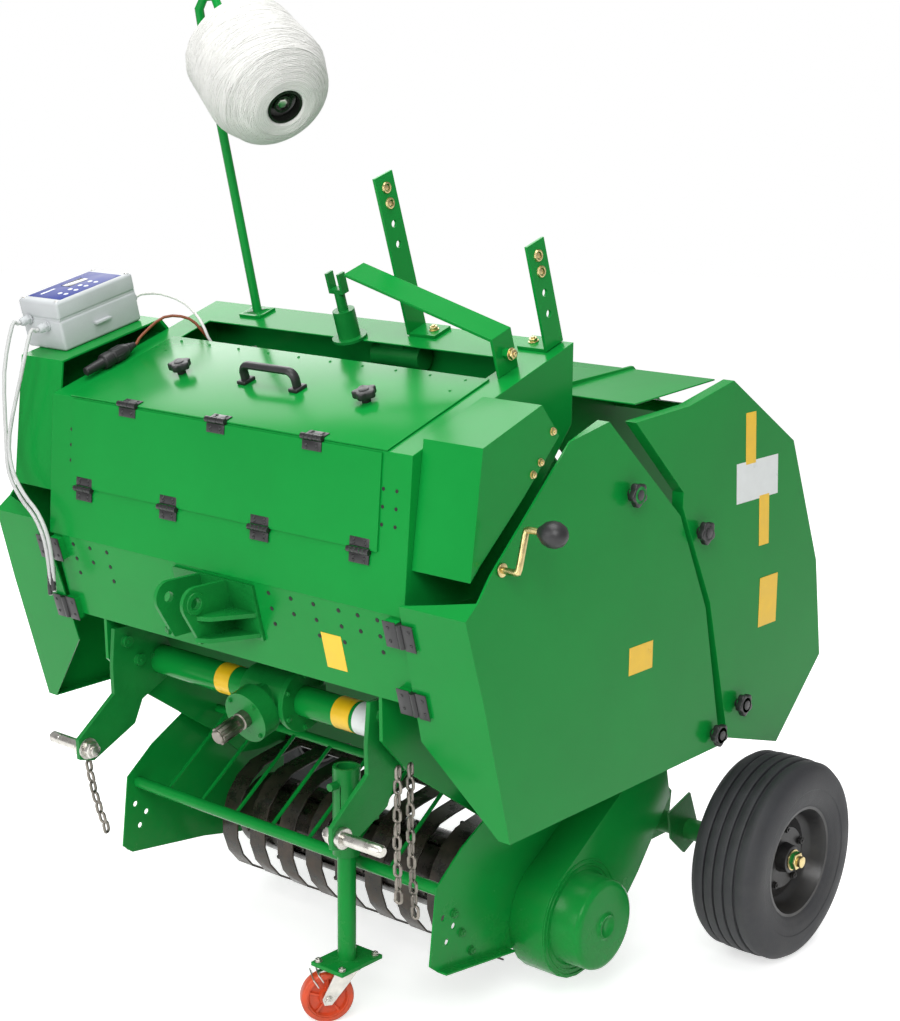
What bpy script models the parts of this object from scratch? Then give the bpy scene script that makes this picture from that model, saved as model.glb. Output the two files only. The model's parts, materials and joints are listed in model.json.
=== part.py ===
"""Mini round baler for a three-point hitch, parked on two tyres and a caster stand.

Metres, +Z up, +X to the side with the pickup's drive guard, -Y towards the hitch.
"""

import math

import bmesh
import bpy
from mathutils import Matrix, Vector

for old in list(bpy.data.objects):
    bpy.data.objects.remove(old, do_unlink=True)

# Driving sizes
CENTRE_SHIFT = 0.0175  # puts the middle of the overall box over the origin
FIT = 0.0003  # gap between two pieces that touch
SHEET = 0.003
PLATE = 0.008
HOUSING_HALF = 0.465  # half width of the twine housing
COVER_X = 0.617  # outer face of the side covers
CHAMBER_X = 0.366  # middle of the chamber side plates
TOP_SLOPE = 0.335  # rise of the housing top per metre towards the rear
TOP_FRONT_Y = -0.508
TOP_FRONT_Z = 1.1227
TYRE_RADIUS = 0.2032
TYRE_WIDTH = 0.150
WHEEL_SEGMENTS = 32
WHEEL_X = 0.653
WHEEL_Y = 0.383
RIM_RADIUS = 0.108
AXLE_RADIUS = 0.0125
TAILGATE_PIVOT = (-0.046, 1.150)
CHAMBER_ROLLER = 0.045
REEL_AXIS = (-0.060, 0.170)
REEL_TIP = 0.116
REEL_DRUM = 0.078
REEL_SHAFT = 0.020
BAND_INNER = 0.125
BAND_COUNT = 9
BAND_PITCH = 0.0825
BAND_WIDTH = 0.045
LEG_X = 0.218
LEG_Y = -0.406
LEG_RADIUS = 0.0175
LEG_CLEARANCE = 0.0007
CASTER_RADIUS = 0.050
CASTER_TRAIL = 0.038
PTO_AXIS = Vector((0, -0.962, -0.273))
GEARBOX = Vector((0, -0.360, 0.579))
TUBE_RADIUS = 0.030
HITCH_ARM_X = 0.340
HITCH_PIN = (-0.555, 0.441)
TOP_LINK = (-0.604, 0.813)

PLATE_INNER = CHAMBER_X - PLATE / 2
PLATE_OUTER = CHAMBER_X + PLATE / 2
FLOOR_Z = 0.850
LEFT, RIGHT = -1, 1
SIDES = ((LEFT, "left"), (RIGHT, "right"))

# colour, roughness, metallic
FINISHES = {
    "green": ((0.010, 0.190, 0.030), 0.30, 0.0),
    "light_green": ((0.060, 0.330, 0.080), 0.40, 0.0),
    "dark_green": ((0.005, 0.060, 0.015), 0.35, 0.0),
    "black": ((0.010, 0.010, 0.010), 0.50, 0.0),
    "rubber": ((0.018, 0.018, 0.020), 0.85, 0.0),
    "zinc": ((0.550, 0.540, 0.500), 0.35, 1.0),
    "orange": ((0.700, 0.080, 0.020), 0.45, 0.0),
    "twine": ((0.800, 0.800, 0.780), 0.90, 0.0),
    "grey_box": ((0.550, 0.560, 0.560), 0.50, 0.0),
    "cable_grey": ((0.420, 0.430, 0.420), 0.60, 0.0),
}

root = bpy.data.objects.new("baler", None)
root.location.y = CENTRE_SHIFT
bpy.context.collection.objects.link(root)


def finish(name):
    if name in bpy.data.materials:
        return bpy.data.materials[name]
    material = bpy.data.materials.new(name)
    material.use_nodes = True
    shader = material.node_tree.nodes["Principled BSDF"]
    colour, roughness, metallic = FINISHES[name]
    shader.inputs["Base Color"].default_value = (*colour, 1)
    shader.inputs["Roughness"].default_value = roughness
    shader.inputs["Metallic"].default_value = metallic
    return material


def shape(points, faces):
    """A hidden helper object under the root; piece() turns one into a node."""
    mesh = bpy.data.meshes.new("shape")
    mesh.from_pydata([tuple(point) for point in points], [], faces)
    model = bmesh.new()
    model.from_mesh(mesh)
    bmesh.ops.recalc_face_normals(model, faces=model.faces)
    model.to_mesh(mesh)
    model.free()
    helper = bpy.data.objects.new("shape", mesh)
    helper.parent = root
    helper.hide_render = True
    helper.display_type = "WIRE"
    bpy.context.collection.objects.link(helper)
    return helper


def joined_rings(rings, loop=False):
    """A closed solid through rings of equal length, capped at the ends unless it loops."""
    size = len(rings[0])
    points = [point for ring in rings for point in ring]
    spans = [(i, (i + 1) % len(rings)) for i in range(len(rings) if loop else len(rings) - 1)]
    faces = [
        (a * size + i, a * size + (i + 1) % size, b * size + (i + 1) % size, b * size + i)
        for a, b in spans
        for i in range(size)
    ]
    if not loop:
        faces.append(tuple(range(size)))
        faces.append(tuple(range(len(points) - size, len(points))))
    return shape(points, faces)


def at_axis(axis, place, across):
    """The point with this place along x, y or z and these other two coordinates."""
    values = list(across)
    values.insert("xyz".index(axis), place)
    return Vector(values)


def prism(axis, outline, start, end):
    return joined_rings([[at_axis(axis, place, point) for point in outline] for place in (start, end)])


def box(low, high):
    return prism("z", ((low[0], low[1]), (high[0], low[1]), (high[0], high[1]), (low[0], high[1])), low[2], high[2])


def circle(origin, direction, radius, segments):
    turn = Vector(direction).to_track_quat("Z", "Y").to_matrix()
    angles = [2 * math.pi * i / segments for i in range(segments)]
    return [Vector(origin) + turn @ Vector((radius * math.cos(a), radius * math.sin(a), 0)) for a in angles]


def turned(origin, direction, profile, segments=24, loop=False):
    """A turned solid; profile rows are distance along the direction, radius."""
    direction = Vector(direction).normalized()
    origin = Vector(origin)
    rings = [circle(origin + direction * distance, direction, radius, segments) for distance, radius in profile]
    return joined_rings(rings, loop)


def rod(start, end, radius, segments=16):
    start, end = Vector(start), Vector(end)
    return turned(start, end - start, ((0, radius), ((end - start).length, radius)), segments)


def swept(points, radius, segments=10):
    """A round bar through the points, with mitred bends."""
    points = [Vector(point) for point in points]
    count = len(points)
    normal = (points[1] - points[0]).orthogonal().normalized()
    rings = []
    for i, point in enumerate(points):
        before = (point - points[max(i - 1, 0)]).normalized()
        after = (points[min(i + 1, count - 1)] - point).normalized()
        tangent = (before + after).normalized()
        normal = (normal - tangent * normal.dot(tangent)).normalized()
        side = tangent.cross(normal)
        angles = [2 * math.pi * step / segments for step in range(segments)]
        rings.append([point + radius * (math.cos(a) * normal + math.sin(a) * side) for a in angles])
    return joined_rings(rings)


def arc(centre, radius, start_deg, end_deg, steps):
    """Points on an arc in a plane, from one angle to another."""
    angles = [math.radians(start_deg + (end_deg - start_deg) * i / steps) for i in range(steps + 1)]
    return [(centre[0] + radius * math.cos(a), centre[1] + radius * math.sin(a)) for a in angles]


def boolean(base, operation, other):
    modifier = base.modifiers.new(operation.lower(), "BOOLEAN")
    modifier.operation = operation
    modifier.solver = "EXACT"
    modifier.object = other


def piece(name, material, first, adds=(), cuts=(), origin=(0, 0, 0)):
    """Names a shape, joins and cuts it, and puts its origin on its joint's axis."""
    first.name = name
    first.data.name = name
    first.hide_render = False
    first.display_type = "TEXTURED"
    first.data.materials.append(finish(material))
    origin = Vector(origin)
    first.data.transform(Matrix.Translation(-origin))
    first.location = origin
    for other in adds:
        boolean(first, "UNION", other)
    for other in cuts:
        boolean(first, "DIFFERENCE", other)
    first.data.shade_smooth()
    first.data.set_sharp_from_angle(angle=math.radians(35))
    return first


def in_frame(helper, frame):
    helper.data.transform(frame)
    return helper


def plane_frame(origin, slope):
    """Axes of a plane that rises rearwards by this slope: x, up the slope, out of the plane."""
    along = Vector((0, 1, slope)).normalized()
    out = Vector((0, -slope, 1)).normalized()
    frame = Matrix((Vector((1, 0, 0)), along, out)).transposed().to_4x4()
    return Matrix.Translation(Vector(origin)) @ frame


def top_z(y):
    return TOP_FRONT_Z + TOP_SLOPE * (y - TOP_FRONT_Y)


DECK_FRONT_Y = -0.160
DECK = plane_frame((0, DECK_FRONT_Y, top_z(DECK_FRONT_Y)), TOP_SLOPE)


def up_slope(y):
    """Distance up the deck's slope of a point at this y."""
    return (y - DECK_FRONT_Y) * math.hypot(1, TOP_SLOPE)


def deck_box(low, high):
    return in_frame(box(low, high), DECK)


def knob(x, y, z, direction):
    """A star knob's stem and head as one turned shape."""
    return turned((x, y, z), direction, ((-0.002, 0.007), (0.010, 0.007), (0.0101, 0.018), (0.024, 0.016)), 12)


# Frame side plates, with the tailgate's pivot ears
SPLIT = ((0.228, 0.460), (0.158, 0.760), (0.094, 0.948), (-0.052, 1.088))
HOUSING_REAR = ((-0.075, 1.120), (-0.215, 0.960), (-0.260, FLOOR_Z))
PANEL_TOP = (-0.526, FLOOR_Z - FIT)
PANEL_BOTTOM = (-0.482, 0.683)
PANEL_SHEET = 0.004
SEAT_GAP = 0.0008
EAR_GAP = 0.006


def side_plate(side, name):
    outline = (
        (PANEL_TOP[0] + PANEL_SHEET + SEAT_GAP, FLOOR_Z - FIT),
        (PANEL_BOTTOM[0] + PANEL_SHEET + SEAT_GAP, PANEL_BOTTOM[1]),
        (-0.475, 0.600),
        (-0.400, 0.520),
        (-0.200, 0.380),
        (-0.120, 0.310),
        (0.050, 0.290),
        (0.220, 0.240),
        (0.320, 0.160),
        (0.430, 0.160),
        (0.440, 0.250),
        *SPLIT,
        (-0.085, 1.100),
        (-0.205, 0.950),
        (-0.250, FLOOR_Z - FIT),
    )
    plate = prism("x", outline, side * PLATE_INNER, side * PLATE_OUTER)
    pivot_y, pivot_z = TAILGATE_PIVOT
    ear_outline = ((-0.090, 1.030), (-0.050, 1.030), *arc(TAILGATE_PIVOT, 0.018, 0, 180, 8))
    ear_in = PLATE_OUTER + EAR_GAP
    ear = prism("x", ear_outline, side * ear_in, side * (ear_in + PLATE))
    spacer_outline = ((-0.086, 1.034), (-0.056, 1.034), (-0.056, 1.076), (-0.080, 1.076))
    spacer = prism("x", spacer_outline, side * (PLATE_OUTER - 0.002), side * (ear_in + 0.002))
    pin = rod((side * (PLATE_OUTER + FIT), pivot_y, pivot_z), (side * (ear_in + PLATE + 0.004), pivot_y, pivot_z), 0.008)
    piece(f"side_plate_{name}", "green", plate, (spacer, ear, pin))


# Slanted front panel with the door hinges' fixed leaves
HINGE_X = 0.462
HINGE_POINT = Vector((HINGE_X, -0.514, 0.760))
HINGE_AXIS = Vector((0, -0.273, 0.962)).normalized()
HINGE_OUT = Vector((0, -0.962, -0.273)).normalized()
HINGE_PLACES = (0.063, -0.069)
HINGE_LENGTH = 0.045
HINGE_RADIUS = 0.006
PANEL_HALF = 0.455


def hinge_frame(side):
    frame = Matrix((Vector((1, 0, 0)), -HINGE_OUT, HINGE_AXIS)).transposed().to_4x4()
    return Matrix.Translation(Vector((side * HINGE_X, HINGE_POINT.y, HINGE_POINT.z))) @ frame


def front_panel():
    outline = (
        PANEL_TOP,
        PANEL_BOTTOM,
        (PANEL_BOTTOM[0] + PANEL_SHEET, PANEL_BOTTOM[1]),
        (PANEL_TOP[0] + PANEL_SHEET, PANEL_TOP[1]),
    )
    sheet = prism("x", outline, -PANEL_HALF, PANEL_HALF)
    leaves = []
    for side, _ in SIDES:
        for place in HINGE_PLACES:
            ends = sorted((-side * 0.034, -side * (HINGE_RADIUS + 0.0007)))
            leaf = box((ends[0], -0.002, place - HINGE_LENGTH / 2), (ends[1], 0.014, place + HINGE_LENGTH / 2))
            leaves.append(in_frame(leaf, hinge_frame(side)))
    piece("front_panel", "green", sheet, leaves)


# Twine housing: front face, sloped top with the deck strip, rear wall, open slot behind the lid
FACE_BOTTOM_Y = -0.528
REAR_WALL_Y = -0.075
OPENING_HALF = 0.395


def face_y(z):
    """The housing's front face, which leans back a little."""
    return FACE_BOTTOM_Y + (z - FLOOR_Z) * (TOP_FRONT_Y - FACE_BOTTOM_Y) / (TOP_FRONT_Z - FLOOR_Z)


def cover_housing():
    outline = (
        (FACE_BOTTOM_Y, FLOOR_Z),
        (TOP_FRONT_Y, TOP_FRONT_Z),
        (REAR_WALL_Y, top_z(REAR_WALL_Y)),
        *HOUSING_REAR,
    )
    inside = (
        (FACE_BOTTOM_Y + SHEET, FLOOR_Z + SHEET),
        (TOP_FRONT_Y + SHEET, TOP_FRONT_Z - SHEET),
        (REAR_WALL_Y - SHEET, top_z(REAR_WALL_Y - SHEET) - SHEET),
        (REAR_WALL_Y - SHEET, 1.1213),
        (-0.217, 0.9615),
        (-0.262, FLOOR_Z + SHEET),
    )
    shell = prism("x", outline, -HOUSING_HALF, HOUSING_HALF)
    hollow = prism("x", inside, -HOUSING_HALF + SHEET, HOUSING_HALF - SHEET)
    lid_hole = deck_box((-OPENING_HALF, up_slope(-0.495), -0.02), (OPENING_HALF, 0, 0.02))
    flap_hole = box((-0.385, -0.560, 0.965), (0.385, -0.490, 1.105))
    window = box((0.020, -0.090, 1.165), (0.110, -0.060, 1.235))
    piece("cover_housing", "green", shell, (), (hollow, lid_hole, flap_hole, window))


# Folding front flap, and the lid hinged to its upper edge
DOOR_GAP = 0.0005
FLAP_AXIS = (-0.5262, 0.950)
LID_AXIS = (-0.5125, 1.1265)
BARREL = 0.005
BARREL_LENGTH = 0.050


def flap():
    low, high = 0.953, 1.120
    outline = (
        (face_y(low) - DOOR_GAP, low),
        (face_y(high) - DOOR_GAP, high),
        (face_y(high) - DOOR_GAP - SHEET, high),
        (face_y(low) - DOOR_GAP - SHEET, low),
    )
    sheet = prism("x", outline, -0.400, 0.400)
    barrels = [
        rod((x - BARREL_LENGTH / 2, *FLAP_AXIS), (x + BARREL_LENGTH / 2, *FLAP_AXIS), BARREL, 10)
        for x in (-0.36, -0.12, 0.12, 0.36)
    ]
    piece("flap", "green", sheet, barrels, (), (0, *FLAP_AXIS))


def lid():
    low, high = DOOR_GAP, DOOR_GAP + SHEET
    sheet = deck_box((-0.410, up_slope(-0.508), low), (0.410, up_slope(-0.243), high))
    adds = []
    for x in (-0.24, 0, 0.24):
        leaf = (x - BARREL_LENGTH / 2, x + BARREL_LENGTH / 2)
        adds.append(deck_box((leaf[0], up_slope(-0.5127), low), (leaf[1], up_slope(-0.480), high - 0.0003)))
        adds.append(rod((leaf[0], *LID_AXIS), (leaf[1], *LID_AXIS), BARREL, 10))
    handle_y = up_slope(-0.370)
    for x in (-0.067, 0.067):
        adds.append(deck_box((x - 0.009, handle_y - 0.010, low + 0.001), (x + 0.009, handle_y + 0.010, 0.040)))
    adds.append(deck_box((-0.075, handle_y - 0.009, 0.034), (0.075, handle_y + 0.009, 0.046)))
    out = DECK.to_3x3() @ Vector((0, 0, 1))
    for x in (-0.24, 0.24):
        foot = DECK @ Vector((x, up_slope(-0.374), high))
        adds.append(knob(*foot, out))
    piece("lid", "green", sheet, adds, (), (0, *LID_AXIS))


# Boxes beside the housing; the left one is taller and carries the control box
BOX_IN = HOUSING_HALF + FIT
BOX_OUT = 0.592
LEFT_TOP_FRONT = (-0.482, 1.183)
LEFT_TOP_SLOPE = 0.240


def side_box(side, name):
    lower = ((-0.280, 1.142), (-0.375, 1.050), (-0.485, 0.955), (-0.510, 0.930))
    if side == RIGHT:
        outline = ((-0.482, 1.148), (-0.330, 1.200), *lower)
    else:
        rear_y = -0.228
        rear = (rear_y, LEFT_TOP_FRONT[1] + LEFT_TOP_SLOPE * (rear_y - LEFT_TOP_FRONT[0]))
        outline = (LEFT_TOP_FRONT, rear, (-0.200, 1.215), *lower)
    centre = (sum(p[0] for p in outline) / len(outline), sum(p[1] for p in outline) / len(outline))
    shrink = 0.965
    inner = [(centre[0] + (y - centre[0]) * shrink, centre[1] + (z - centre[1]) * shrink) for y, z in outline]
    shell = prism("x", outline, side * BOX_IN, side * BOX_OUT)
    hollow = prism("x", inner, side * (BOX_IN - 0.01), side * (BOX_OUT - SHEET))
    piece(f"side_box_{name}", "green", shell, (), (hollow,))


# Side doors and tailgate guards are folded sheet pans
CREASE_FRONT = (-0.503, 0.730)
CREASE_REAR = (0.155, 0.758)
LEAN = 0.04


def pan_x(y, z):
    """Distance of a side panel from the middle: upright below the crease, leaning in above it."""
    rise = (CREASE_REAR[1] - CREASE_FRONT[1]) / (CREASE_REAR[0] - CREASE_FRONT[0])
    crease_z = CREASE_FRONT[1] + rise * (y - CREASE_FRONT[0])
    return COVER_X - LEAN * max(z - crease_z, 0)


def pan(side, rows, upper, lower):
    """rows are y, z, rim depth; upper and lower list the rows of the two flat faces."""
    count = len(rows)
    points = [(side * pan_x(y, z), y, z) for y, z, _ in rows]
    points += [(side * (pan_x(y, z) - depth), y, z) for y, z, depth in rows]
    faces = [tuple(upper), tuple(lower)]
    faces += [(i, (i + 1) % count, count + (i + 1) % count, count + i) for i in range(count)]
    sheet = shape(points, faces)
    if sheet.data.polygons[0].normal.x * side < 0:
        sheet.data.flip_normals()
    solidify = sheet.modifiers.new("sheet", "SOLIDIFY")
    solidify.thickness = SHEET
    solidify.offset = -1
    solidify.use_even_offset = True
    return sheet


RIM = 0.025
LIP = 0.004  # where the cover swings past the side box


def flange_y(z):
    return -0.500 - 0.2838 * (z - 0.720)


def side_cover(side, name):
    top = 0.876
    rows = (
        (flange_y(top), top, pan_x(-0.54, top) - 0.468),
        (flange_y(CREASE_FRONT[1]), CREASE_FRONT[1], COVER_X - 0.460),
        (flange_y(0.620), 0.620, COVER_X - 0.456),
        (flange_y(0.462), 0.462, RIM),
        (0.225, 0.467, RIM),
        (*CREASE_REAR, RIM),
        (0.070, 0.948, RIM),
        (-0.150, 1.150, RIM),
        (-0.262, 1.130, LIP),
        (-0.368, 1.036, LIP),
        (-0.478, 0.940, LIP),
        (-0.512, 0.900, LIP),
    )
    sheet = pan(side, rows, (0, 1, 5, 6, 7, 8, 9, 10, 11), (1, 2, 3, 4, 5))
    adds = []
    for place in HINGE_PLACES:
        barrel = rod((0, 0, place - HINGE_LENGTH / 2), (0, 0, place + HINGE_LENGTH / 2), HINGE_RADIUS, 12)
        adds.append(in_frame(barrel, hinge_frame(side)))
        ends = sorted((side * 0.001, side * 0.030))
        leaf = box((ends[0], -0.001, place - HINGE_LENGTH / 2 + 0.001), (ends[1], 0.0045, place + HINGE_LENGTH / 2 - 0.001))
        adds.append(in_frame(leaf, hinge_frame(side)))
    for y, z in ((-0.090, 1.015), (0.195, 0.500)):
        adds.append(knob(side * pan_x(y, z), y, z, (side, 0, 0)))
    origin = (side * HINGE_X, HINGE_POINT.y, HINGE_POINT.z)
    piece(f"side_cover_{name}", "green", sheet, adds, (), origin)


# Tailgate: chamber plates behind the split, cross members, roof sheet, outer guards
TAIL_PLATE = (
    (-0.064, 1.150),
    (-0.046, 1.168),
    (0.250, 1.181),
    (0.455, 1.020),
    (0.540, 0.775),
    (0.570, 0.570),
    (0.430, 0.440),
    (0.255, 0.485),
    (0.172, 0.765),
    (0.110, 0.957),
    (-0.030, 1.104),
    (-0.060, 1.136),
)
TAIL_RODS = ((0.440, 0.960), (0.530, 0.610), (0.300, 0.500))
ROOF_HALF = 0.560  # the roof sheet reaches out to the guards
GUARD_POSTS = ((0.200, 1.120), (0.500, 0.700), (0.300, 0.560))
REAR_ROLLERS = ((0.330, 1.040), (0.425, 0.800), (0.380, 0.545))
FRONT_ROLLERS = ((-0.145, 0.910), (-0.100, 0.620))


def tailgate_frame():
    plates = [prism("x", TAIL_PLATE, side * PLATE_INNER, side * PLATE_OUTER) for side, _ in SIDES]
    rods = [rod((-CHAMBER_X, y, z), (CHAMBER_X, y, z), 0.014, 12) for y, z in TAIL_RODS]
    roof_outline = ((-0.040, 1.159), (0.246, 1.176), (0.246, 1.173), (-0.040, 1.156))
    roof = prism("x", roof_outline, -CHAMBER_X, CHAMBER_X)
    wing_outline = ((-0.015, 1.1605), (0.246, 1.176), (0.246, 1.173), (-0.015, 1.1575))
    wings = [prism("x", wing_outline, side * (CHAMBER_X - 0.002), side * ROOF_HALF) for side, _ in SIDES]
    piece("tailgate_frame", "light_green", plates[0], (*rods, roof, *wings, plates[1]), (), (0, *TAILGATE_PIVOT))


def tailgate_guard(side, name):
    rows = (
        (-0.070, 1.138, RIM),
        (0.080, 0.990, RIM),
        (0.078, 0.962, RIM),
        (0.170, 0.765, RIM),
        (0.252, 0.475, RIM),
        (0.440, 0.418, RIM),
        (0.599, 0.568, RIM),
        (0.565, 0.775, RIM),
        (0.470, 1.034, RIM),
        (0.250, 1.177, RIM),
        (0.100, 1.147, RIM),
    )
    sheet = pan(side, rows, (0, 1, 2, 3, 7, 8, 9, 10), (3, 4, 5, 6, 7))
    adds = []
    for y, z in GUARD_POSTS:
        adds.append(rod((side * (PLATE_OUTER + FIT), y, z), (side * (pan_x(y, z) - 0.001), y, z), 0.012, 12))
    for y, z in ((0.130, 0.909), (0.280, 0.540)):
        adds.append(knob(side * pan_x(y, z), y, z, (side, 0, 0)))
    piece(f"tailgate_guard_{name}", "green", sheet, adds, (), (0, *TAILGATE_PIVOT))


def rollers():
    journal = PLATE_INNER - FIT
    face = PLATE_INNER - 0.007
    profile = (
        (-journal, 0.015),
        (-face - 0.0001, 0.015),
        (-face, CHAMBER_ROLLER),
        (face, CHAMBER_ROLLER),
        (face + 0.0001, 0.015),
        (journal, 0.015),
    )
    for prefix, places in (("front_roller", FRONT_ROLLERS), ("rear_roller", REAR_ROLLERS)):
        for i, (y, z) in enumerate(places):
            body = turned((0, y, z), (1, 0, 0), profile, 16)
            piece(f"{prefix}_{i + 1}", "dark_green", body, (), (), (0, y, z))


# Pickup: side plates, wind guard, stripper bands, reel, drive guard
PICKUP_X = 0.420
PICKUP_PLATE = 0.004
PICKUP_IN = PICKUP_X - PICKUP_PLATE / 2
PICKUP_OUT = PICKUP_X + PICKUP_PLATE / 2
WIND_BAR = (-0.362, 0.297)
WIND_REAR = (-0.185, 0.425)
TIE_BAR = (0.020, 0.306)


def pickup_side(side, name):
    outline = (
        (-0.388, 0.314),
        (-0.405, 0.167),
        (-0.380, 0.147),
        (-0.180, 0.122),
        (0.000, 0.085),
        (0.050, 0.110),
        (0.070, 0.300),
        (-0.080, 0.450),
        (-0.170, 0.450),
        (-0.319, 0.369),
    )
    plate = prism("x", outline, side * PICKUP_IN, side * PICKUP_OUT)
    boss = rod((side * (PLATE_OUTER + FIT), -0.130, 0.420), (side * PICKUP_X, -0.130, 0.420), 0.016)
    lip = prism("x", ((-0.380, 0.147), (-0.180, 0.122), (-0.180, 0.126), (-0.380, 0.151)), side * PICKUP_X, side * 0.440)
    holes = [
        rod((side * 0.41, y, z), (side * 0.43, y, z), 0.006, 10)
        for y, z in ((-0.369, 0.250), (-0.340, 0.225), (-0.358, 0.200))
    ]
    piece(f"pickup_side_{name}", "green", plate, (boss, lip), holes)


def wind_guard():
    end = PICKUP_IN - FIT
    inner_end = PLATE_INNER - FIT
    bar = rod((-end, *WIND_BAR), (end, *WIND_BAR), 0.012, 12)
    rear = rod((-inner_end, *WIND_REAR), (inner_end, *WIND_REAR), 0.009, 10)
    fingers = [
        rod((x, *WIND_BAR), (x, *WIND_REAR), 0.004, 8)
        for x in (-0.33, -0.23, -0.13, -0.03, 0.07, 0.175, 0.28)
    ]
    piece("wind_guard", "green", bar, (rear, *fingers))


def band_x(i):
    return (i - (BAND_COUNT - 1) / 2) * BAND_PITCH


def stripper_bands():
    outer = BAND_INNER + 0.004
    inside = arc(REEL_AXIS, BAND_INNER, 90, 250, 8)
    outside = arc(REEL_AXIS, outer, 250, 90, 8)
    outline = (*inside, *outside, (TIE_BAR[0], TIE_BAR[1] + 0.004), (TIE_BAR[0], TIE_BAR[1] - 0.002))
    end = PLATE_INNER - FIT
    tie = rod((-end, *TIE_BAR), (end, *TIE_BAR), 0.010, 12)
    half = BAND_WIDTH / 2
    bands = [prism("x", outline, band_x(i) - half, band_x(i) + half) for i in range(BAND_COUNT)]
    piece("stripper_bands", "dark_green", tie, bands)


def pickup_reel():
    end = PICKUP_IN - FIT
    drum_end = PLATE_INNER - 0.010
    profile = (
        (-end, REEL_SHAFT),
        (-drum_end - 0.0001, REEL_SHAFT),
        (-drum_end, REEL_DRUM),
        (drum_end, REEL_DRUM),
        (drum_end + 0.0001, REEL_SHAFT),
        (end, REEL_SHAFT),
    )
    shaft = turned((0, *REEL_AXIS), (1, 0, 0), profile, 24)
    stars = []
    arm_width = 0.007
    for i in range(BAND_COUNT - 1):
        x = band_x(i) + BAND_PITCH / 2
        outline = []
        for turn in range(4):
            angle = math.radians(90 * turn + 22 * (i % 2))
            for reach, offset in ((0.020, -45), (REEL_TIP, 0)):
                if offset:
                    corner = angle + math.radians(offset)
                    outline.append((REEL_AXIS[0] + 0.030 * math.cos(corner), REEL_AXIS[1] + 0.030 * math.sin(corner)))
                    continue
                along = Vector((math.cos(angle), math.sin(angle)))
                across = Vector((-along.y, along.x)) * arm_width / 2
                centre = Vector(REEL_AXIS) + along * reach
                outline += [tuple(centre - across), tuple(centre + across)]
        stars.append(prism("x", outline, x - 0.003, x + 0.003))
    piece("pickup_reel", "black", shaft, stars, (), (0, *REEL_AXIS))


def pickup_drive_guard():
    case_out = 0.500
    outline = (*arc(REEL_AXIS, 0.118, 110, 330, 14), (0.130, 0.200), (0.235, 0.330), (0.215, 0.420), (0.120, 0.420))
    case = prism("x", outline, PICKUP_OUT + FIT, case_out)
    cap = turned(
        (0, *REEL_AXIS), (1, 0, 0), ((case_out - 0.005, 0.088), (0.552, 0.088), (0.560, 0.080), (0.5601, 0.022), (0.566, 0.020)), 28
    )
    piece("pickup_drive_guard", "green", case, (cap,))


# Drive: gearbox, tubes, PTO stub
def gearbox():
    front = turned(GEARBOX, PTO_AXIS, ((0, 0.040), (0.055, 0.040), (0.0551, 0.052), (0.094, 0.052)), 24)
    body = rod(GEARBOX + Vector((-0.060, 0, 0)), GEARBOX + Vector((0.060, 0, 0)), 0.050, 20)
    flange = rod(GEARBOX + Vector((0.055, 0, 0)), GEARBOX + Vector((0.067, 0, 0)), 0.060, 20)
    piece("gearbox", "green", body, (front, flange))


def drive():
    arm_inner = HITCH_ARM_X - PLATE / 2 - 0.001
    for name, start, end in (("left", -arm_inner - FIT + 0.001, -0.0603), ("right", 0.0673, arm_inner + FIT - 0.001)):
        tube = rod((start, GEARBOX.y, GEARBOX.z), (end, GEARBOX.y, GEARBOX.z), TUBE_RADIUS, 20)
        piece(f"drive_tube_{name}", "green", tube)
    shaft = turned(GEARBOX, PTO_AXIS, ((0.0943, 0.0174), (0.166, 0.0174), (0.170, 0.0155)), 18)
    piece("pto_shaft", "zinc", shaft, (), (), GEARBOX)


# Hitch: lower arms with pins, top link bracket
def hitch(side, name):
    arm = prism(
        "x",
        (
            (-0.480, 0.667),
            (-0.487, 0.591),
            (-0.485, 0.535),
            (-0.577, 0.463),
            (-0.575, 0.422),
            (-0.540, 0.412),
            (-0.434, 0.462),
            (-0.413, 0.508),
            (-0.345, 0.540),
            (-0.325, 0.580),
            (-0.345, 0.620),
            (-0.430, 0.667),
        ),
        side * (HITCH_ARM_X - 0.005),
        side * (HITCH_ARM_X + 0.005),
    )
    plate_seat = PLATE_INNER - FIT
    bolts = [
        rod((side * (HITCH_ARM_X - 0.014), y, z), (side * plate_seat, y, z), 0.012, 12)
        for y, z in ((-0.452, 0.637), (-0.421, 0.593))
    ]
    nut = rod((side * 0.317, *HITCH_PIN), (side * HITCH_ARM_X, *HITCH_PIN), 0.016, 6)
    piece(f"hitch_arm_{name}", "green", arm, (*bolts, nut))
    start = HITCH_ARM_X + 0.005 + FIT
    pin = turned(
        (0, *HITCH_PIN),
        (side, 0, 0),
        ((start, 0.019), (start + 0.010, 0.019), (start + 0.0101, 0.011), (0.440, 0.011), (0.445, 0.008)),
        16,
    )
    piece(f"hitch_pin_{name}", "zinc", pin)


def panel_y(z):
    return PANEL_TOP[0] + (PANEL_TOP[1] - z) * (PANEL_BOTTOM[0] - PANEL_TOP[0]) / (PANEL_TOP[1] - PANEL_BOTTOM[1])


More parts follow.
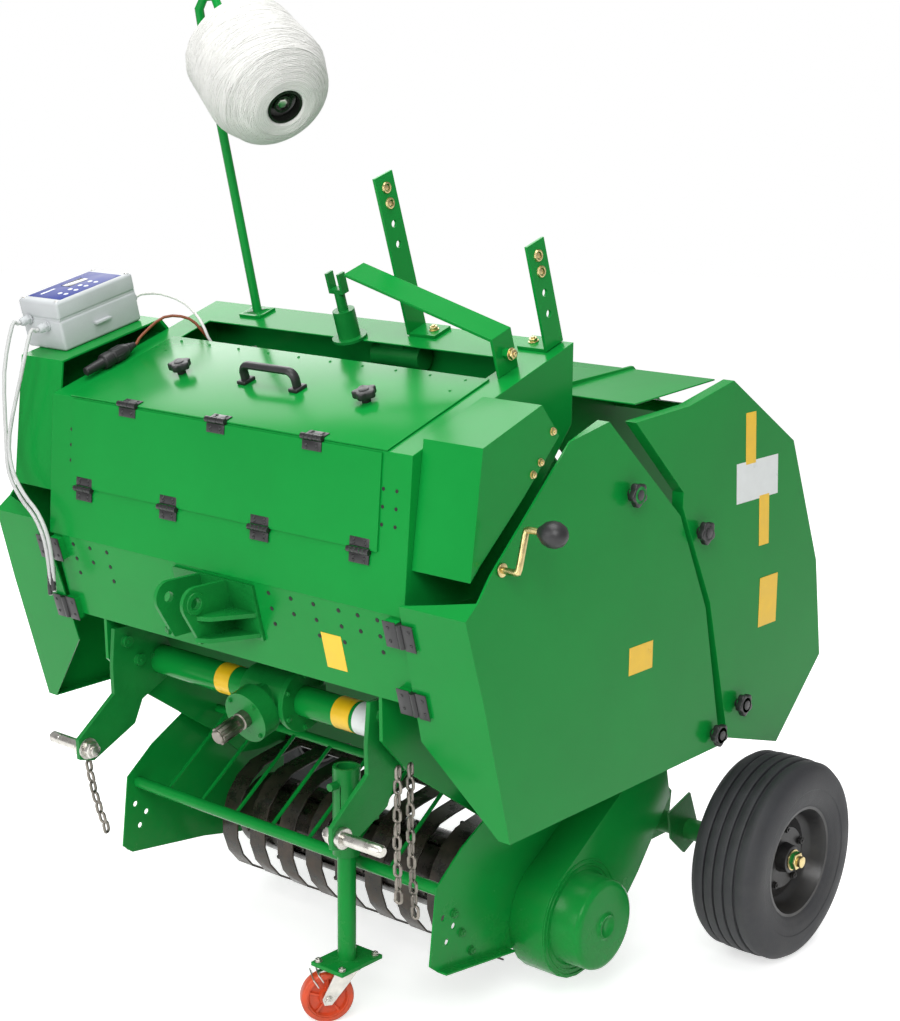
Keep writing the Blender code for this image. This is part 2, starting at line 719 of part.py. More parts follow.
def top_link_bracket():
    low, high = 0.735, 0.843
    back = prism(
        "x",
        (
            (panel_y(low) - 0.0005, low),
            (panel_y(high) - 0.0005, high),
            (panel_y(high) - 0.006, high),
            (panel_y(low) - 0.006, low),
        ),
        -0.105,
        0.105,
    )
    lug_outline = (
        (panel_y(low) - 0.004, low + 0.001),
        (panel_y(high) - 0.004, high - 0.001),
        *arc(TOP_LINK, 0.030, 90, 215, 8),
        (-0.592, 0.736),
    )
    lugs = [prism("x", lug_outline, x - 0.004, x + 0.004) for x in (-0.035, 0.035)]
    braces = []
    for side, _ in SIDES:
        for z in (0.745, 0.785):
            rear = panel_y(z + 0.004) - 0.0006
            outline = ((side * 0.036, -0.603), (side * 0.060, -0.590), (side * 0.100, rear - 0.006), (side * 0.100, rear))
            outline += ((side * 0.036, rear),)
            braces.append(prism("z", outline, z - 0.004, z + 0.004))
    hole = rod((-0.06, *TOP_LINK), (0.06, *TOP_LINK), 0.0105, 16)
    piece("top_link_bracket", "green", back, (*lugs, *braces), (hole,))


# Stand: sleeve on the right arm, sliding leg, swivelling caster
SLEEVE_LOW, SLEEVE_HIGH = 0.330, 0.500
LEG_TOP = 0.405
FOOT_LOW, FOOT_HIGH = 0.113, 0.121
TRAIL = Vector((-0.6, -0.8, 0))
CASTER_AXIS = Vector((0.8, -0.6, 0))
CASTER_CENTRE = Vector((LEG_X, LEG_Y, CASTER_RADIUS)) + TRAIL * CASTER_TRAIL


def stand():
    bore = LEG_RADIUS + LEG_CLEARANCE
    ring = ((SLEEVE_LOW, 0.026), (SLEEVE_HIGH, 0.026), (SLEEVE_HIGH, bore), (SLEEVE_LOW, bore))
    sleeve = turned((LEG_X, LEG_Y, 0), (0, 0, 1), ring, 20, loop=True)
    arm_face = HITCH_ARM_X - 0.005 - FIT
    web = prism("z", ((0.242, -0.425), (arm_face, -0.500), (arm_face, -0.445), (0.242, -0.388)), 0.440, 0.452)
    clamp = rod((LEG_X, LEG_Y - 0.019, 0.470), (LEG_X, LEG_Y - 0.045, 0.470), 0.008, 8)
    piece("stand_sleeve", "green", sleeve, (web, clamp))
    leg = rod((LEG_X, LEG_Y, FOOT_LOW + 0.002), (LEG_X, LEG_Y, LEG_TOP), LEG_RADIUS, 20)
    foot = box((LEG_X - 0.040, LEG_Y - 0.055, FOOT_LOW), (LEG_X + 0.040, LEG_Y + 0.055, FOOT_HIGH))
    piece("stand_leg", "green", leg, (foot,), (), (LEG_X, LEG_Y, FOOT_LOW))


def caster():
    top = FOOT_LOW - FIT
    head = turned((LEG_X, LEG_Y, 0), (0, 0, 1), ((top - 0.008, 0.030), (top, 0.030)), 20)
    frame = Matrix((TRAIL, CASTER_AXIS, Vector((0, 0, 1)))).transposed().to_4x4()
    frame = Matrix.Translation(Vector((LEG_X, LEG_Y, 0))) @ frame
    adds = []
    for side, _ in SIDES:
        cheek_outline = ((-0.020, top - 0.006), (0.024, top - 0.006), (0.050, 0.052), (0.046, 0.040), (0.032, 0.040))
        cheek = prism("y", cheek_outline, side * 0.019, side * 0.023)
        adds.append(in_frame(cheek, frame))
    bridge = box((-0.018, -0.021, top - 0.0075), (0.022, 0.021, top - 0.004))
    adds.append(in_frame(bridge, frame))
    adds.append(rod(CASTER_CENTRE - CASTER_AXIS * 0.026, CASTER_CENTRE + CASTER_AXIS * 0.026, 0.0055, 12))
    piece("caster_fork", "zinc", head, adds, (), (LEG_X, LEG_Y, top))
    ring = ((-0.014, 0.046), (-0.010, CASTER_RADIUS), (0.010, CASTER_RADIUS), (0.014, 0.046), (0.014, 0.0061), (-0.014, 0.0061))
    wheel = turned(CASTER_CENTRE, CASTER_AXIS, ring, 32, loop=True)
    piece("caster_wheel", "orange", wheel, (), (), CASTER_CENTRE)


# Road wheels on stub axles
def wheel(side, name):
    half = TYRE_WIDTH / 2
    bead = 0.058
    centre = (side * WHEEL_X, WHEEL_Y, TYRE_RADIUS)
    out = (side, 0, 0)
    shoulder = TYRE_RADIUS - 0.018
    # distance from the tyre's middle plane, radius
    section = (
        (-bead, RIM_RADIUS),
        (-half + 0.004, RIM_RADIUS + 0.022),
        (-half, TYRE_RADIUS - 0.055),
        (-half + 0.005, shoulder - 0.006),
        (-half + 0.018, TYRE_RADIUS - 0.007),
        (-half + 0.040, TYRE_RADIUS),
        (half - 0.040, TYRE_RADIUS),
        (half - 0.018, TYRE_RADIUS - 0.007),
        (half - 0.005, shoulder - 0.006),
        (half, TYRE_RADIUS - 0.055),
        (half - 0.004, RIM_RADIUS + 0.022),
        (bead, RIM_RADIUS),
    )
    tyre = turned(centre, out, section, WHEEL_SEGMENTS, loop=True)
    piece(f"tyre_{name}", "rubber", tyre, (), (), centre)
    rim_out = RIM_RADIUS - FIT
    bore = AXLE_RADIUS + 0.0005
    dish = 0.012
    ring = (
        (-bead, rim_out),
        (bead, rim_out),
        (bead, rim_out - 0.008),
        (dish + 0.006, rim_out - 0.012),
        (dish + 0.006, 0.030),
        (0.045, 0.028),
        (0.045, bore),
        (-0.045, bore),
        (-0.045, 0.028),
        (dish, 0.030),
        (dish, rim_out - 0.012),
        (-bead, rim_out - 0.008),
    )
    piece(f"rim_{name}", "dark_green", turned(centre, out, ring, WHEEL_SEGMENTS, loop=True), (), (), centre)
    inner = PLATE_OUTER + FIT
    beam = turned(
        (0, WHEEL_Y, TYRE_RADIUS),
        out,
        ((inner, 0.022), (WHEEL_X - 0.070, 0.022), (WHEEL_X - 0.0699, AXLE_RADIUS), (WHEEL_X + 0.050, AXLE_RADIUS)),
        18,
    )
    nut = turned((0, WHEEL_Y, TYRE_RADIUS), out, ((WHEEL_X + 0.0458, 0.019), (WHEEL_X + 0.058, 0.019)), 6)
    bracket_outline = ((0.385, 0.282), (0.307, 0.258), (0.319, 0.199), (0.370, 0.153), (0.407, 0.169), (0.415, 0.210))
    bracket = prism("x", bracket_outline, side * 0.447, side * 0.453)
    piece(f"axle_{name}", "green", beam, (bracket, nut))


# What stands on the deck: uprights, bent strap, twine gear, spool post
def deck_rod(start, end, radius, segments=12):
    return in_frame(rod(start, end, radius, segments), DECK)


def upright(name, x, foot_x, height):
    low, high = up_slope(-0.124), up_slope(-0.0765)
    bar = deck_box((x - 0.003, low, 0.002), (x + 0.003, high, height))
    foot_ends = sorted((x, foot_x))
    foot = deck_box((foot_ends[0], low + 0.001, FIT), (foot_ends[1], high - 0.001, 0.006))
    middle = (low + high) / 2
    holes = [
        deck_rod((x - 0.02, middle, height - drop), (x + 0.02, middle, height - drop), 0.007)
        for drop in (0.025, 0.055, 0.095, 0.135)
    ]
    piece(f"upright_{name}", "green", bar, (foot,), holes)


def strap():
    outline = ((0.417, FIT), (0.423, FIT), (0.423, 0.074), (0.102, 0.172), (0.100, 0.166), (0.417, 0.069))
    band = in_frame(prism("y", outline, up_slope(-0.232), up_slope(-0.180)), DECK)
    bolt = deck_rod((0.405, up_slope(-0.206), 0.036), (0.435, up_slope(-0.206), 0.036), 0.010, 6)
    piece("strap", "green", band, (bolt,))


def twine_gear():
    flange = in_frame(turned((-0.002, 0, 0), (0, 0, 1), ((FIT, 0.034), (0.006, 0.034)), 20), DECK)
    body = in_frame(turned((-0.002, 0, 0), (0, 0, 1), ((0.002, 0.0215), (0.060, 0.0215), (0.0601, 0.010), (0.100, 0.010)), 16), DECK)
    fork = deck_box((-0.020, -0.009, 0.095), (0.016, 0.009, 0.104))
    cheeks = [deck_box((x - 0.003, -0.009, 0.097), (x + 0.003, 0.009, 0.135)) for x in (-0.017, 0.013)]
    piece("twine_actuator", "green", flange, (body, fork, *cheeks))
    y = up_slope(-0.120)
    can = deck_rod((0.020, y, -0.046), (0.140, y, -0.046), 0.024, 16)
    bracket = deck_box((0.040, y - 0.012, -0.040), (0.100, y + 0.012, -SHEET * 1.12 - FIT))
    piece("twine_motor", "green", can, (bracket,))


SPOOL_CENTRE = Vector((-0.132, -0.263, 1.728))
SPOOL_AXIS = Vector((0.816, -0.214, -0.535)).normalized()
SPOOL_HALF = 0.110
POST_RADIUS = 0.009


def spool_post():
    foot = DECK @ Vector((-0.310, up_slope(-0.105), 0.003))
    start = SPOOL_CENTRE - SPOOL_AXIS * (SPOOL_HALF + 0.030)
    end = SPOOL_CENTRE + SPOOL_AXIS * (SPOOL_HALF - 0.020)
    bend = [foot, (-0.326, -0.228, 1.815), (-0.325, -0.236, 1.850), (-0.308, -0.238, 1.872)]
    bend += [(-0.282, -0.236, 1.872), start - Vector((0.010, -0.002, -0.012)), start, end]
    bar = swept(bend, POST_RADIUS, 10)
    plate = deck_box((-0.340, up_slope(-0.128), FIT), (-0.280, up_slope(-0.085), 0.005))
    piece("spool_post", "green", bar, (plate,))


def twine_spool():
    bore = POST_RADIUS + 0.0006
    ring = (
        (-SPOOL_HALF, 0.095),
        (-SPOOL_HALF + 0.020, 0.113),
        (0.030, 0.121),
        (SPOOL_HALF - 0.035, 0.105),
        (SPOOL_HALF, 0.060),
        (SPOOL_HALF, 0.034),
        (SPOOL_HALF - 0.025, 0.030),
        (SPOOL_HALF - 0.025, bore),
        (-SPOOL_HALF, bore),
    )
    piece("twine_spool", "twine", turned(SPOOL_CENTRE, SPOOL_AXIS, ring, 32, loop=True))


# Control box on the left side box, its glands, plug and cables
BOX_MIDDLE_Y = -0.344
BOX_FRAME = plane_frame(
    (-0.562, BOX_MIDDLE_Y, LEFT_TOP_FRONT[1] + LEFT_TOP_SLOPE * (BOX_MIDDLE_Y - LEFT_TOP_FRONT[0])), LEFT_TOP_SLOPE
)
BOX_ALONG = BOX_FRAME.to_3x3() @ Vector((0, 1, 0))
CORD_GAP = 0.0007
BOX_HALF_X, BOX_HALF_Y, BOX_HEIGHT = 0.060, 0.100, 0.100
GLANDS = ((-0.035, 0.060), (0.018, 0.050))
GLAND_LENGTH = 0.024
CABLE = 0.004
WIRE = 0.003
PLUG_RADIUS = 0.016


def control_box():
    case = in_frame(box((-BOX_HALF_X, -BOX_HALF_Y, FIT), (BOX_HALF_X, BOX_HALF_Y, BOX_HEIGHT)), BOX_FRAME)
    glands = [
        in_frame(rod((x, -BOX_HALF_Y + 0.002, z), (x, -BOX_HALF_Y - GLAND_LENGTH, z), 0.009, 12), BOX_FRAME)
        for x, z in GLANDS
    ]
    rear = in_frame(rod((0.030, BOX_HALF_Y - 0.002, 0.040), (0.030, BOX_HALF_Y + 0.020, 0.040), 0.009, 12), BOX_FRAME)
    ear = in_frame(box((BOX_HALF_X - 0.002, -0.020, 0.030), (BOX_HALF_X + 0.010, 0.020, 0.036)), BOX_FRAME)
    piece("control_box", "grey_box", case, (*glands, rear, ear))


def cable(name, material, radius, route, steps):
    """A round cable along a smooth curve through its route points."""
    curve = bpy.data.curves.new(name, "CURVE")
    curve.dimensions = "3D"
    curve.bevel_depth = radius
    curve.bevel_resolution = 2
    curve.use_fill_caps = True
    route = [Vector(point) for point in route]
    ends = [route[0] * 2 - route[1], *route, route[-1] * 2 - route[-2]]
    points = []
    for i in range(1, len(ends) - 2):
        a, b, c, d = ends[i - 1 : i + 3]
        last = i == len(ends) - 3
        for step in range(steps + last):
            t = step / steps
            points.append(
                0.5 * (2 * b + (c - a) * t + (2 * a - 5 * b + 4 * c - d) * t**2 + (3 * b - a - 3 * c + d) * t**3)
            )
    spline = curve.splines.new("POLY")
    spline.points.add(len(points) - 1)
    for slot, point in zip(spline.points, points):
        slot.co = (*point, 1)
    curve.materials.append(finish(material))
    cord = bpy.data.objects.new(name, curve)
    cord.parent = root
    bpy.context.collection.objects.link(cord)


def cables():
    for name, (x, z) in zip(("outer", "inner"), GLANDS):
        mouth = BOX_FRAME @ Vector((x, -BOX_HALF_Y - GLAND_LENGTH - CORD_GAP, z))
        apart = Vector((-0.011, 0, -0.009)) if name == "outer" else Vector((0, 0, 0))
        hanging = (
            (-0.575, -0.532, 1.030),
            (-0.560, -0.540, 0.965),
            (-0.505, -0.556, 0.925),
            (-0.455, -0.562, 0.895),
            (-0.432, -0.558, 0.850),
            (-0.428, -0.552, 0.790),
            (-0.430, -0.548, 0.740),
        )
        route = [mouth, mouth - BOX_ALONG * 0.006, mouth - BOX_ALONG * 0.020, (mouth.x, -0.522, 1.150)]
        route += [Vector(point) + apart for point in hanging]
        cable(f"cable_{name}", "cable_grey", CABLE, route, 3)
    low_y, high_y = up_slope(-0.442), up_slope(-0.318)
    plug_x = -0.4385
    height = PLUG_RADIUS + FIT
    profile = ((0, 0.011), (0.045, 0.011), (0.0451, PLUG_RADIUS), (0.100, PLUG_RADIUS), (high_y - low_y, 0.009))
    plug = in_frame(turned((plug_x, low_y, height), (0, 1, 0), profile, 14), DECK)
    piece("plug", "black", plug)
    start = DECK @ Vector((plug_x, high_y + CORD_GAP, height))
    deck_along = DECK.to_3x3() @ Vector((0, 1, 0))
    wall = REAR_WALL_Y - SHEET - CORD_GAP
    route = (
        start,
        start + deck_along * 0.006,
        start + deck_along * 0.022 + Vector((0, 0, 0.010)),
        (-0.425, -0.255, 1.252),
        (-0.395, -0.215, 1.248),
        (-0.372, -0.192, 1.215),
        (-0.368, -0.160, 1.180),
        (-0.366, wall - 0.024, 1.166),
        (-0.366, wall - 0.012, 1.165),
        (-0.366, wall, 1.165),
    )
    cable("plug_wires", "black", WIRE, route, 3)
    start = BOX_FRAME @ Vector((0.030, BOX_HALF_Y + 0.020 + CORD_GAP, 0.040))
    route = (
        start,
        start + BOX_ALONG * 0.006,
        start + BOX_ALONG * 0.018,
        (-0.490, -0.205, 1.290),
        (-0.430, -0.195, 1.275),
        (-0.372, -0.205, 1.245),
        (-0.350, -0.195, 1.200),
        (-0.345, -0.150, 1.185),
        (-0.344, wall - 0.012, 1.182),
        (-0.344, wall, 1.182),
    )
    cable("white_cable", "cable_grey", WIRE, route, 3)


def crank_handle():
    x, y, z = pan_x(-0.452, 0.945), -0.452, 0.945
    route = [(x + 0.0009, y, z), (0.640, y, z), (0.644, y + 0.001, z + 0.004), (0.644, y + 0.018, z + 0.066)]
    route += [(0.648, y + 0.019, z + 0.070), (0.690, y + 0.019, z + 0.070)]
    ball_centre = Vector((0.672, y + 0.019, z + 0.070))
    ball = turned(ball_centre, (1, 0, 0), ((0, 0.011), (0.014, 0.020), (0.034, 0.022), (0.048, 0.015), (0.053, 0.006)), 14)
    origin = (HINGE_X, HINGE_POINT.y, HINGE_POINT.z)
    piece("crank_handle", "zinc", swept(route, 0.006, 10), (ball,), (), origin)


for side, name in SIDES:
    side_plate(side, name)
    side_box(side, name)
    side_cover(side, name)
    tailgate_guard(side, name)
    pickup_side(side, name)
    hitch(side, name)
    wheel(side, name)
front_panel()
cover_housing()
flap()
lid()
tailgate_frame()
rollers()
wind_guard()
stripper_bands()
pickup_reel()
pickup_drive_guard()
gearbox()
drive()
top_link_bracket()
stand()
caster()
upright("left", 0.115, 0.180, 0.310)
upright("right", 0.440, 0.375, 0.200)
strap()
twine_gear()
spool_post()
twine_spool()
control_box()
cables()
crank_handle()
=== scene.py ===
# Looks of the mini round baler: gloss paint, tyres, plated steel, chains, twine and cables
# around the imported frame. Metres, +Z up, the hitch towards -Y, the drive guard at +X.
import json
import math
import random

import bmesh
import bpy
from mathutils import Matrix, Vector

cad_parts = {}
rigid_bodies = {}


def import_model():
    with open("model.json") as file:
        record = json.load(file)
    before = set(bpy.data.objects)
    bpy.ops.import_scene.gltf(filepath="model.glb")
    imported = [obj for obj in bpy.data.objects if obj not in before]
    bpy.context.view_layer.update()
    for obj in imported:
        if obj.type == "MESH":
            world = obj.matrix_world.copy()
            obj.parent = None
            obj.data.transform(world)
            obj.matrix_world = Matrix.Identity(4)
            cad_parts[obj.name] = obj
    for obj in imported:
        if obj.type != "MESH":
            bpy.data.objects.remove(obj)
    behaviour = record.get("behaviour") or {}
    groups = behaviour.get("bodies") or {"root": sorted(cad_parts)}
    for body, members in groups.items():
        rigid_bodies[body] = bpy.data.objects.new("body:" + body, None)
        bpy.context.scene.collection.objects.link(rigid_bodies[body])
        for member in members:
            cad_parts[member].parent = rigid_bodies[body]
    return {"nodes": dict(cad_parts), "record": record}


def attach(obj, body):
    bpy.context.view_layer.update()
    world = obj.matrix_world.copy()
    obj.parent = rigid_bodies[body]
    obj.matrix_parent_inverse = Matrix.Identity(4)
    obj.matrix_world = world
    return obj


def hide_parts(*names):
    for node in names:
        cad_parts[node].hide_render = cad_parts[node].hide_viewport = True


for old in list(bpy.data.objects):
    bpy.data.objects.remove(old, do_unlink=True)

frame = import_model()
nodes = frame["nodes"]
bodyOf = {node: body for body, names in frame["record"]["behaviour"]["bodies"].items() for node in names}
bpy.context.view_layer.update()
shiftY = 0.0175  # places below are measured from a line this far behind the frame's middle
random.seed(7)
print("frame loaded:", len(nodes), "nodes")


# ---------- places that several pieces share ----------
def at(x, y, z):
    return Vector((x, y + shiftY, z))


def slopeFrame(origin, slope):  # x, up the slope, out of the plane
    along = Vector((0, 1, slope)).normalized()
    out = Vector((0, -slope, 1)).normalized()
    turn = Matrix((Vector((1, 0, 0)), along, out)).transposed().to_4x4()
    return Matrix.Translation(origin) @ turn


def turnTo(origin, direction, across=None):  # local z along the direction
    out = Vector(direction).normalized()
    if across is None:
        side = out.orthogonal().normalized()
    else:
        side = (Vector(across) - out * out.dot(Vector(across))).normalized()
    turn = Matrix((side, out.cross(side), out)).transposed().to_4x4()
    return Matrix.Translation(Vector(origin)) @ turn


deckSlope = 0.335
deck = slopeFrame(at(0, -0.160, 1.1227 + deckSlope * 0.348), deckSlope)
boxFrame = slopeFrame(at(-0.562, -0.344, 1.183 + 0.240 * 0.138), 0.240)
deckUp = deck.to_3x3() @ Vector((0, 0, 1))
hingeAxis = Vector((0, -0.273, 0.962)).normalized()  # of the side covers, which leans with the front
shaftAxis = Vector((0, -0.962, -0.273)).normalized()
gearboxCenter = at(0, -0.360, 0.579)
panelOut = Vector((0, -0.1667, -0.044)).normalized()
coverSizes = {"x": 0.617, "creaseZ": 0.730, "creaseRise": 0.028, "front": 0.503, "length": 0.658, "lean": 0.04}
panelSizes = {"y": -0.526, "z": 0.8497, "rise": 0.1667, "run": 0.044}
weldGap, flatDeg, sharpDeg = 0.00002, 0.6, 38
fullTurn = 2 * math.pi


def upSlope(y):
    return (y + 0.160) * math.hypot(1, deckSlope)


def coverX(y, z):  # the side panels lean in above their crease
    crease = coverSizes["creaseZ"] + coverSizes["creaseRise"] * (y + coverSizes["front"]) / coverSizes["length"]
    return coverSizes["x"] - coverSizes["lean"] * max(z - crease, 0)


def panelY(z):
    return panelSizes["y"] + (panelSizes["z"] - z) * panelSizes["run"] / panelSizes["rise"]


# ---------- camera ----------
view = {
    "place": (2.501, -2.8015, 1.723),
    "back": (0.6302, -0.7449, 0.2189),
    "rollDeg": 0.55,
    "lens": 67.75,
}


def setCamera():
    data = bpy.data.cameras.new("camera")
    data.lens = view["lens"]
    camera = bpy.data.objects.new("camera", data)
    bpy.context.collection.objects.link(camera)
    back = Vector(view["back"]).normalized()
    right = Vector((0, 0, 1)).cross(back).normalized()
    up = back.cross(right)
    roll = math.radians(view["rollDeg"])
    right, up = right * math.cos(roll) + up * math.sin(roll), up * math.cos(roll) - right * math.sin(roll)
    camera.matrix_world = Matrix.Translation(view["place"]) @ Matrix((right, up, back)).transposed().to_4x4()
    bpy.context.scene.camera = camera


setCamera()


# ---------- shader groups ----------
def newGroup(name, inputs, outputs):
    group = bpy.data.node_groups.new(name, "ShaderNodeTree")
    for label, kind, value in inputs:
        socket = group.interface.new_socket(name=label, in_out="INPUT", socket_type=kind)
        if value is not None:
            socket.default_value = value
    for label, kind in outputs:
        group.interface.new_socket(name=label, in_out="OUTPUT", socket_type=kind)
    return group, group.nodes.new("NodeGroupInput"), group.nodes.new("NodeGroupOutput")


def feed(tree, node, values):  # an input takes a value, or a link from another node's socket
    for key, value in values.items():
        if isinstance(value, bpy.types.NodeSocket):
            tree.links.new(value, node.inputs[key])
        else:
            node.inputs[key].default_value = value
    return node


def addNode(tree, kind, values=None, **settings):
    node = tree.nodes.new(kind)
    for key, value in settings.items():
        setattr(node, key, value)
    return feed(tree, node, values or {})


def work(tree, operation, *values):
    return addNode(tree, "ShaderNodeMath", dict(enumerate(values)), operation=operation).outputs[0]


def makeBlotch():  # cloudy colour change, with a roughness that follows it
    group, entry, leave = newGroup(
        "blotch",
        (
            ("Color", "NodeSocketColor", (0.5, 0.5, 0.5, 1)),
            ("Scale", "NodeSocketFloat", 4.0),
            ("Strength", "NodeSocketFloat", 0.2),
            ("Roughness", "NodeSocketFloat", 0.4),
            ("Spread", "NodeSocketFloat", 0.1),
        ),
        (("Color", "NodeSocketColor"), ("Roughness", "NodeSocketFloat")),
    )
    given = entry.outputs
    place = addNode(group, "ShaderNodeTexCoord").outputs["Object"]
    cloud = addNode(
        group, "ShaderNodeTexNoise",
        {"Vector": place, "Scale": given["Scale"], "Detail": 5.0, "Roughness": 0.6}
    ).outputs["Fac"]
    level = addNode(
        group, "ShaderNodeMapRange",
        {"Value": cloud, "From Min": 0.3, "From Max": 0.7, "To Min": -1.0, "To Max": 1.0},
    ).outputs["Result"]
    bright = work(group, "ADD", work(group, "MULTIPLY", level, given["Strength"]), 1.0)
    tint = addNode(group, "ShaderNodeHueSaturation", {"Color": given["Color"], "Value": bright})
    gloss = work(group, "MULTIPLY_ADD", level, given["Spread"], given["Roughness"])
    feed(group, leave, {"Color": tint.outputs["Color"], "Roughness": gloss})
    return group


def makeDust():  # soil and dust that thins out with height
    group, entry, leave = newGroup(
        "dust",
        (
            ("Color", "NodeSocketColor", (0.5, 0.5, 0.5, 1)),
            ("Dust", "NodeSocketColor", (0.20, 0.15, 0.10, 1)),
            ("Top", "NodeSocketFloat", 0.4),
            ("Amount", "NodeSocketFloat", 0.3),
        ),
        (("Color", "NodeSocketColor"), ("Mask", "NodeSocketFloat")),
    )
    given = entry.outputs
    place = addNode(group, "ShaderNodeTexCoord").outputs["Object"]
    height = addNode(group, "ShaderNodeSeparateXYZ", {0: place}).outputs["Z"]
    fade = addNode(
        group, "ShaderNodeMapRange",
        {"Value": height, "From Min": 0.0, "From Max": given["Top"], "To Min": 1.0, "To Max": 0.0},
    ).outputs["Result"]
    grain = addNode(
        group, "ShaderNodeTexNoise", {"Vector": place, "Scale": 28.0, "Detail": 8.0, "Roughness": 0.7}
    ).outputs["Fac"]
    patch = addNode(group, "ShaderNodeMapRange", {"Value": grain, "From Min": 0.35, "From Max": 0.7})
    share = work(group, "MULTIPLY", work(group, "MULTIPLY", fade, patch.outputs["Result"]), given["Amount"])
    mix = addNode(
        group, "ShaderNodeMix", {"Factor": share, 6: given["Color"], 7: given["Dust"]}, data_type="RGBA"
    )
    feed(group, leave, {"Color": mix.outputs[2], "Mask": share})
    return group


def makeSkin():  # fine surface height: a wavy part and a grainy part
    group, entry, leave = newGroup(
        "skin",
        (
            ("Wave Scale", "NodeSocketFloat", 60.0),
            ("Grain Scale", "NodeSocketFloat", 600.0),
            ("Grain", "NodeSocketFloat", 0.3),
        ),
        (("Height", "NodeSocketFloat"),),
    )
    given = entry.outputs
    place = addNode(group, "ShaderNodeTexCoord").outputs["Object"]
    wave, grain = (
        addNode(group, "ShaderNodeTexNoise",
        {"Vector": place, "Scale": given[label], "Detail": 2.0}).outputs["Fac"]
        for label in ("Wave Scale", "Grain Scale")
    )
    feed(group, leave, {"Height": work(group, "MULTIPLY_ADD", grain, given["Grain"], wave)})
    return group


blotch, dust, skin = makeBlotch(), makeDust(), makeSkin()

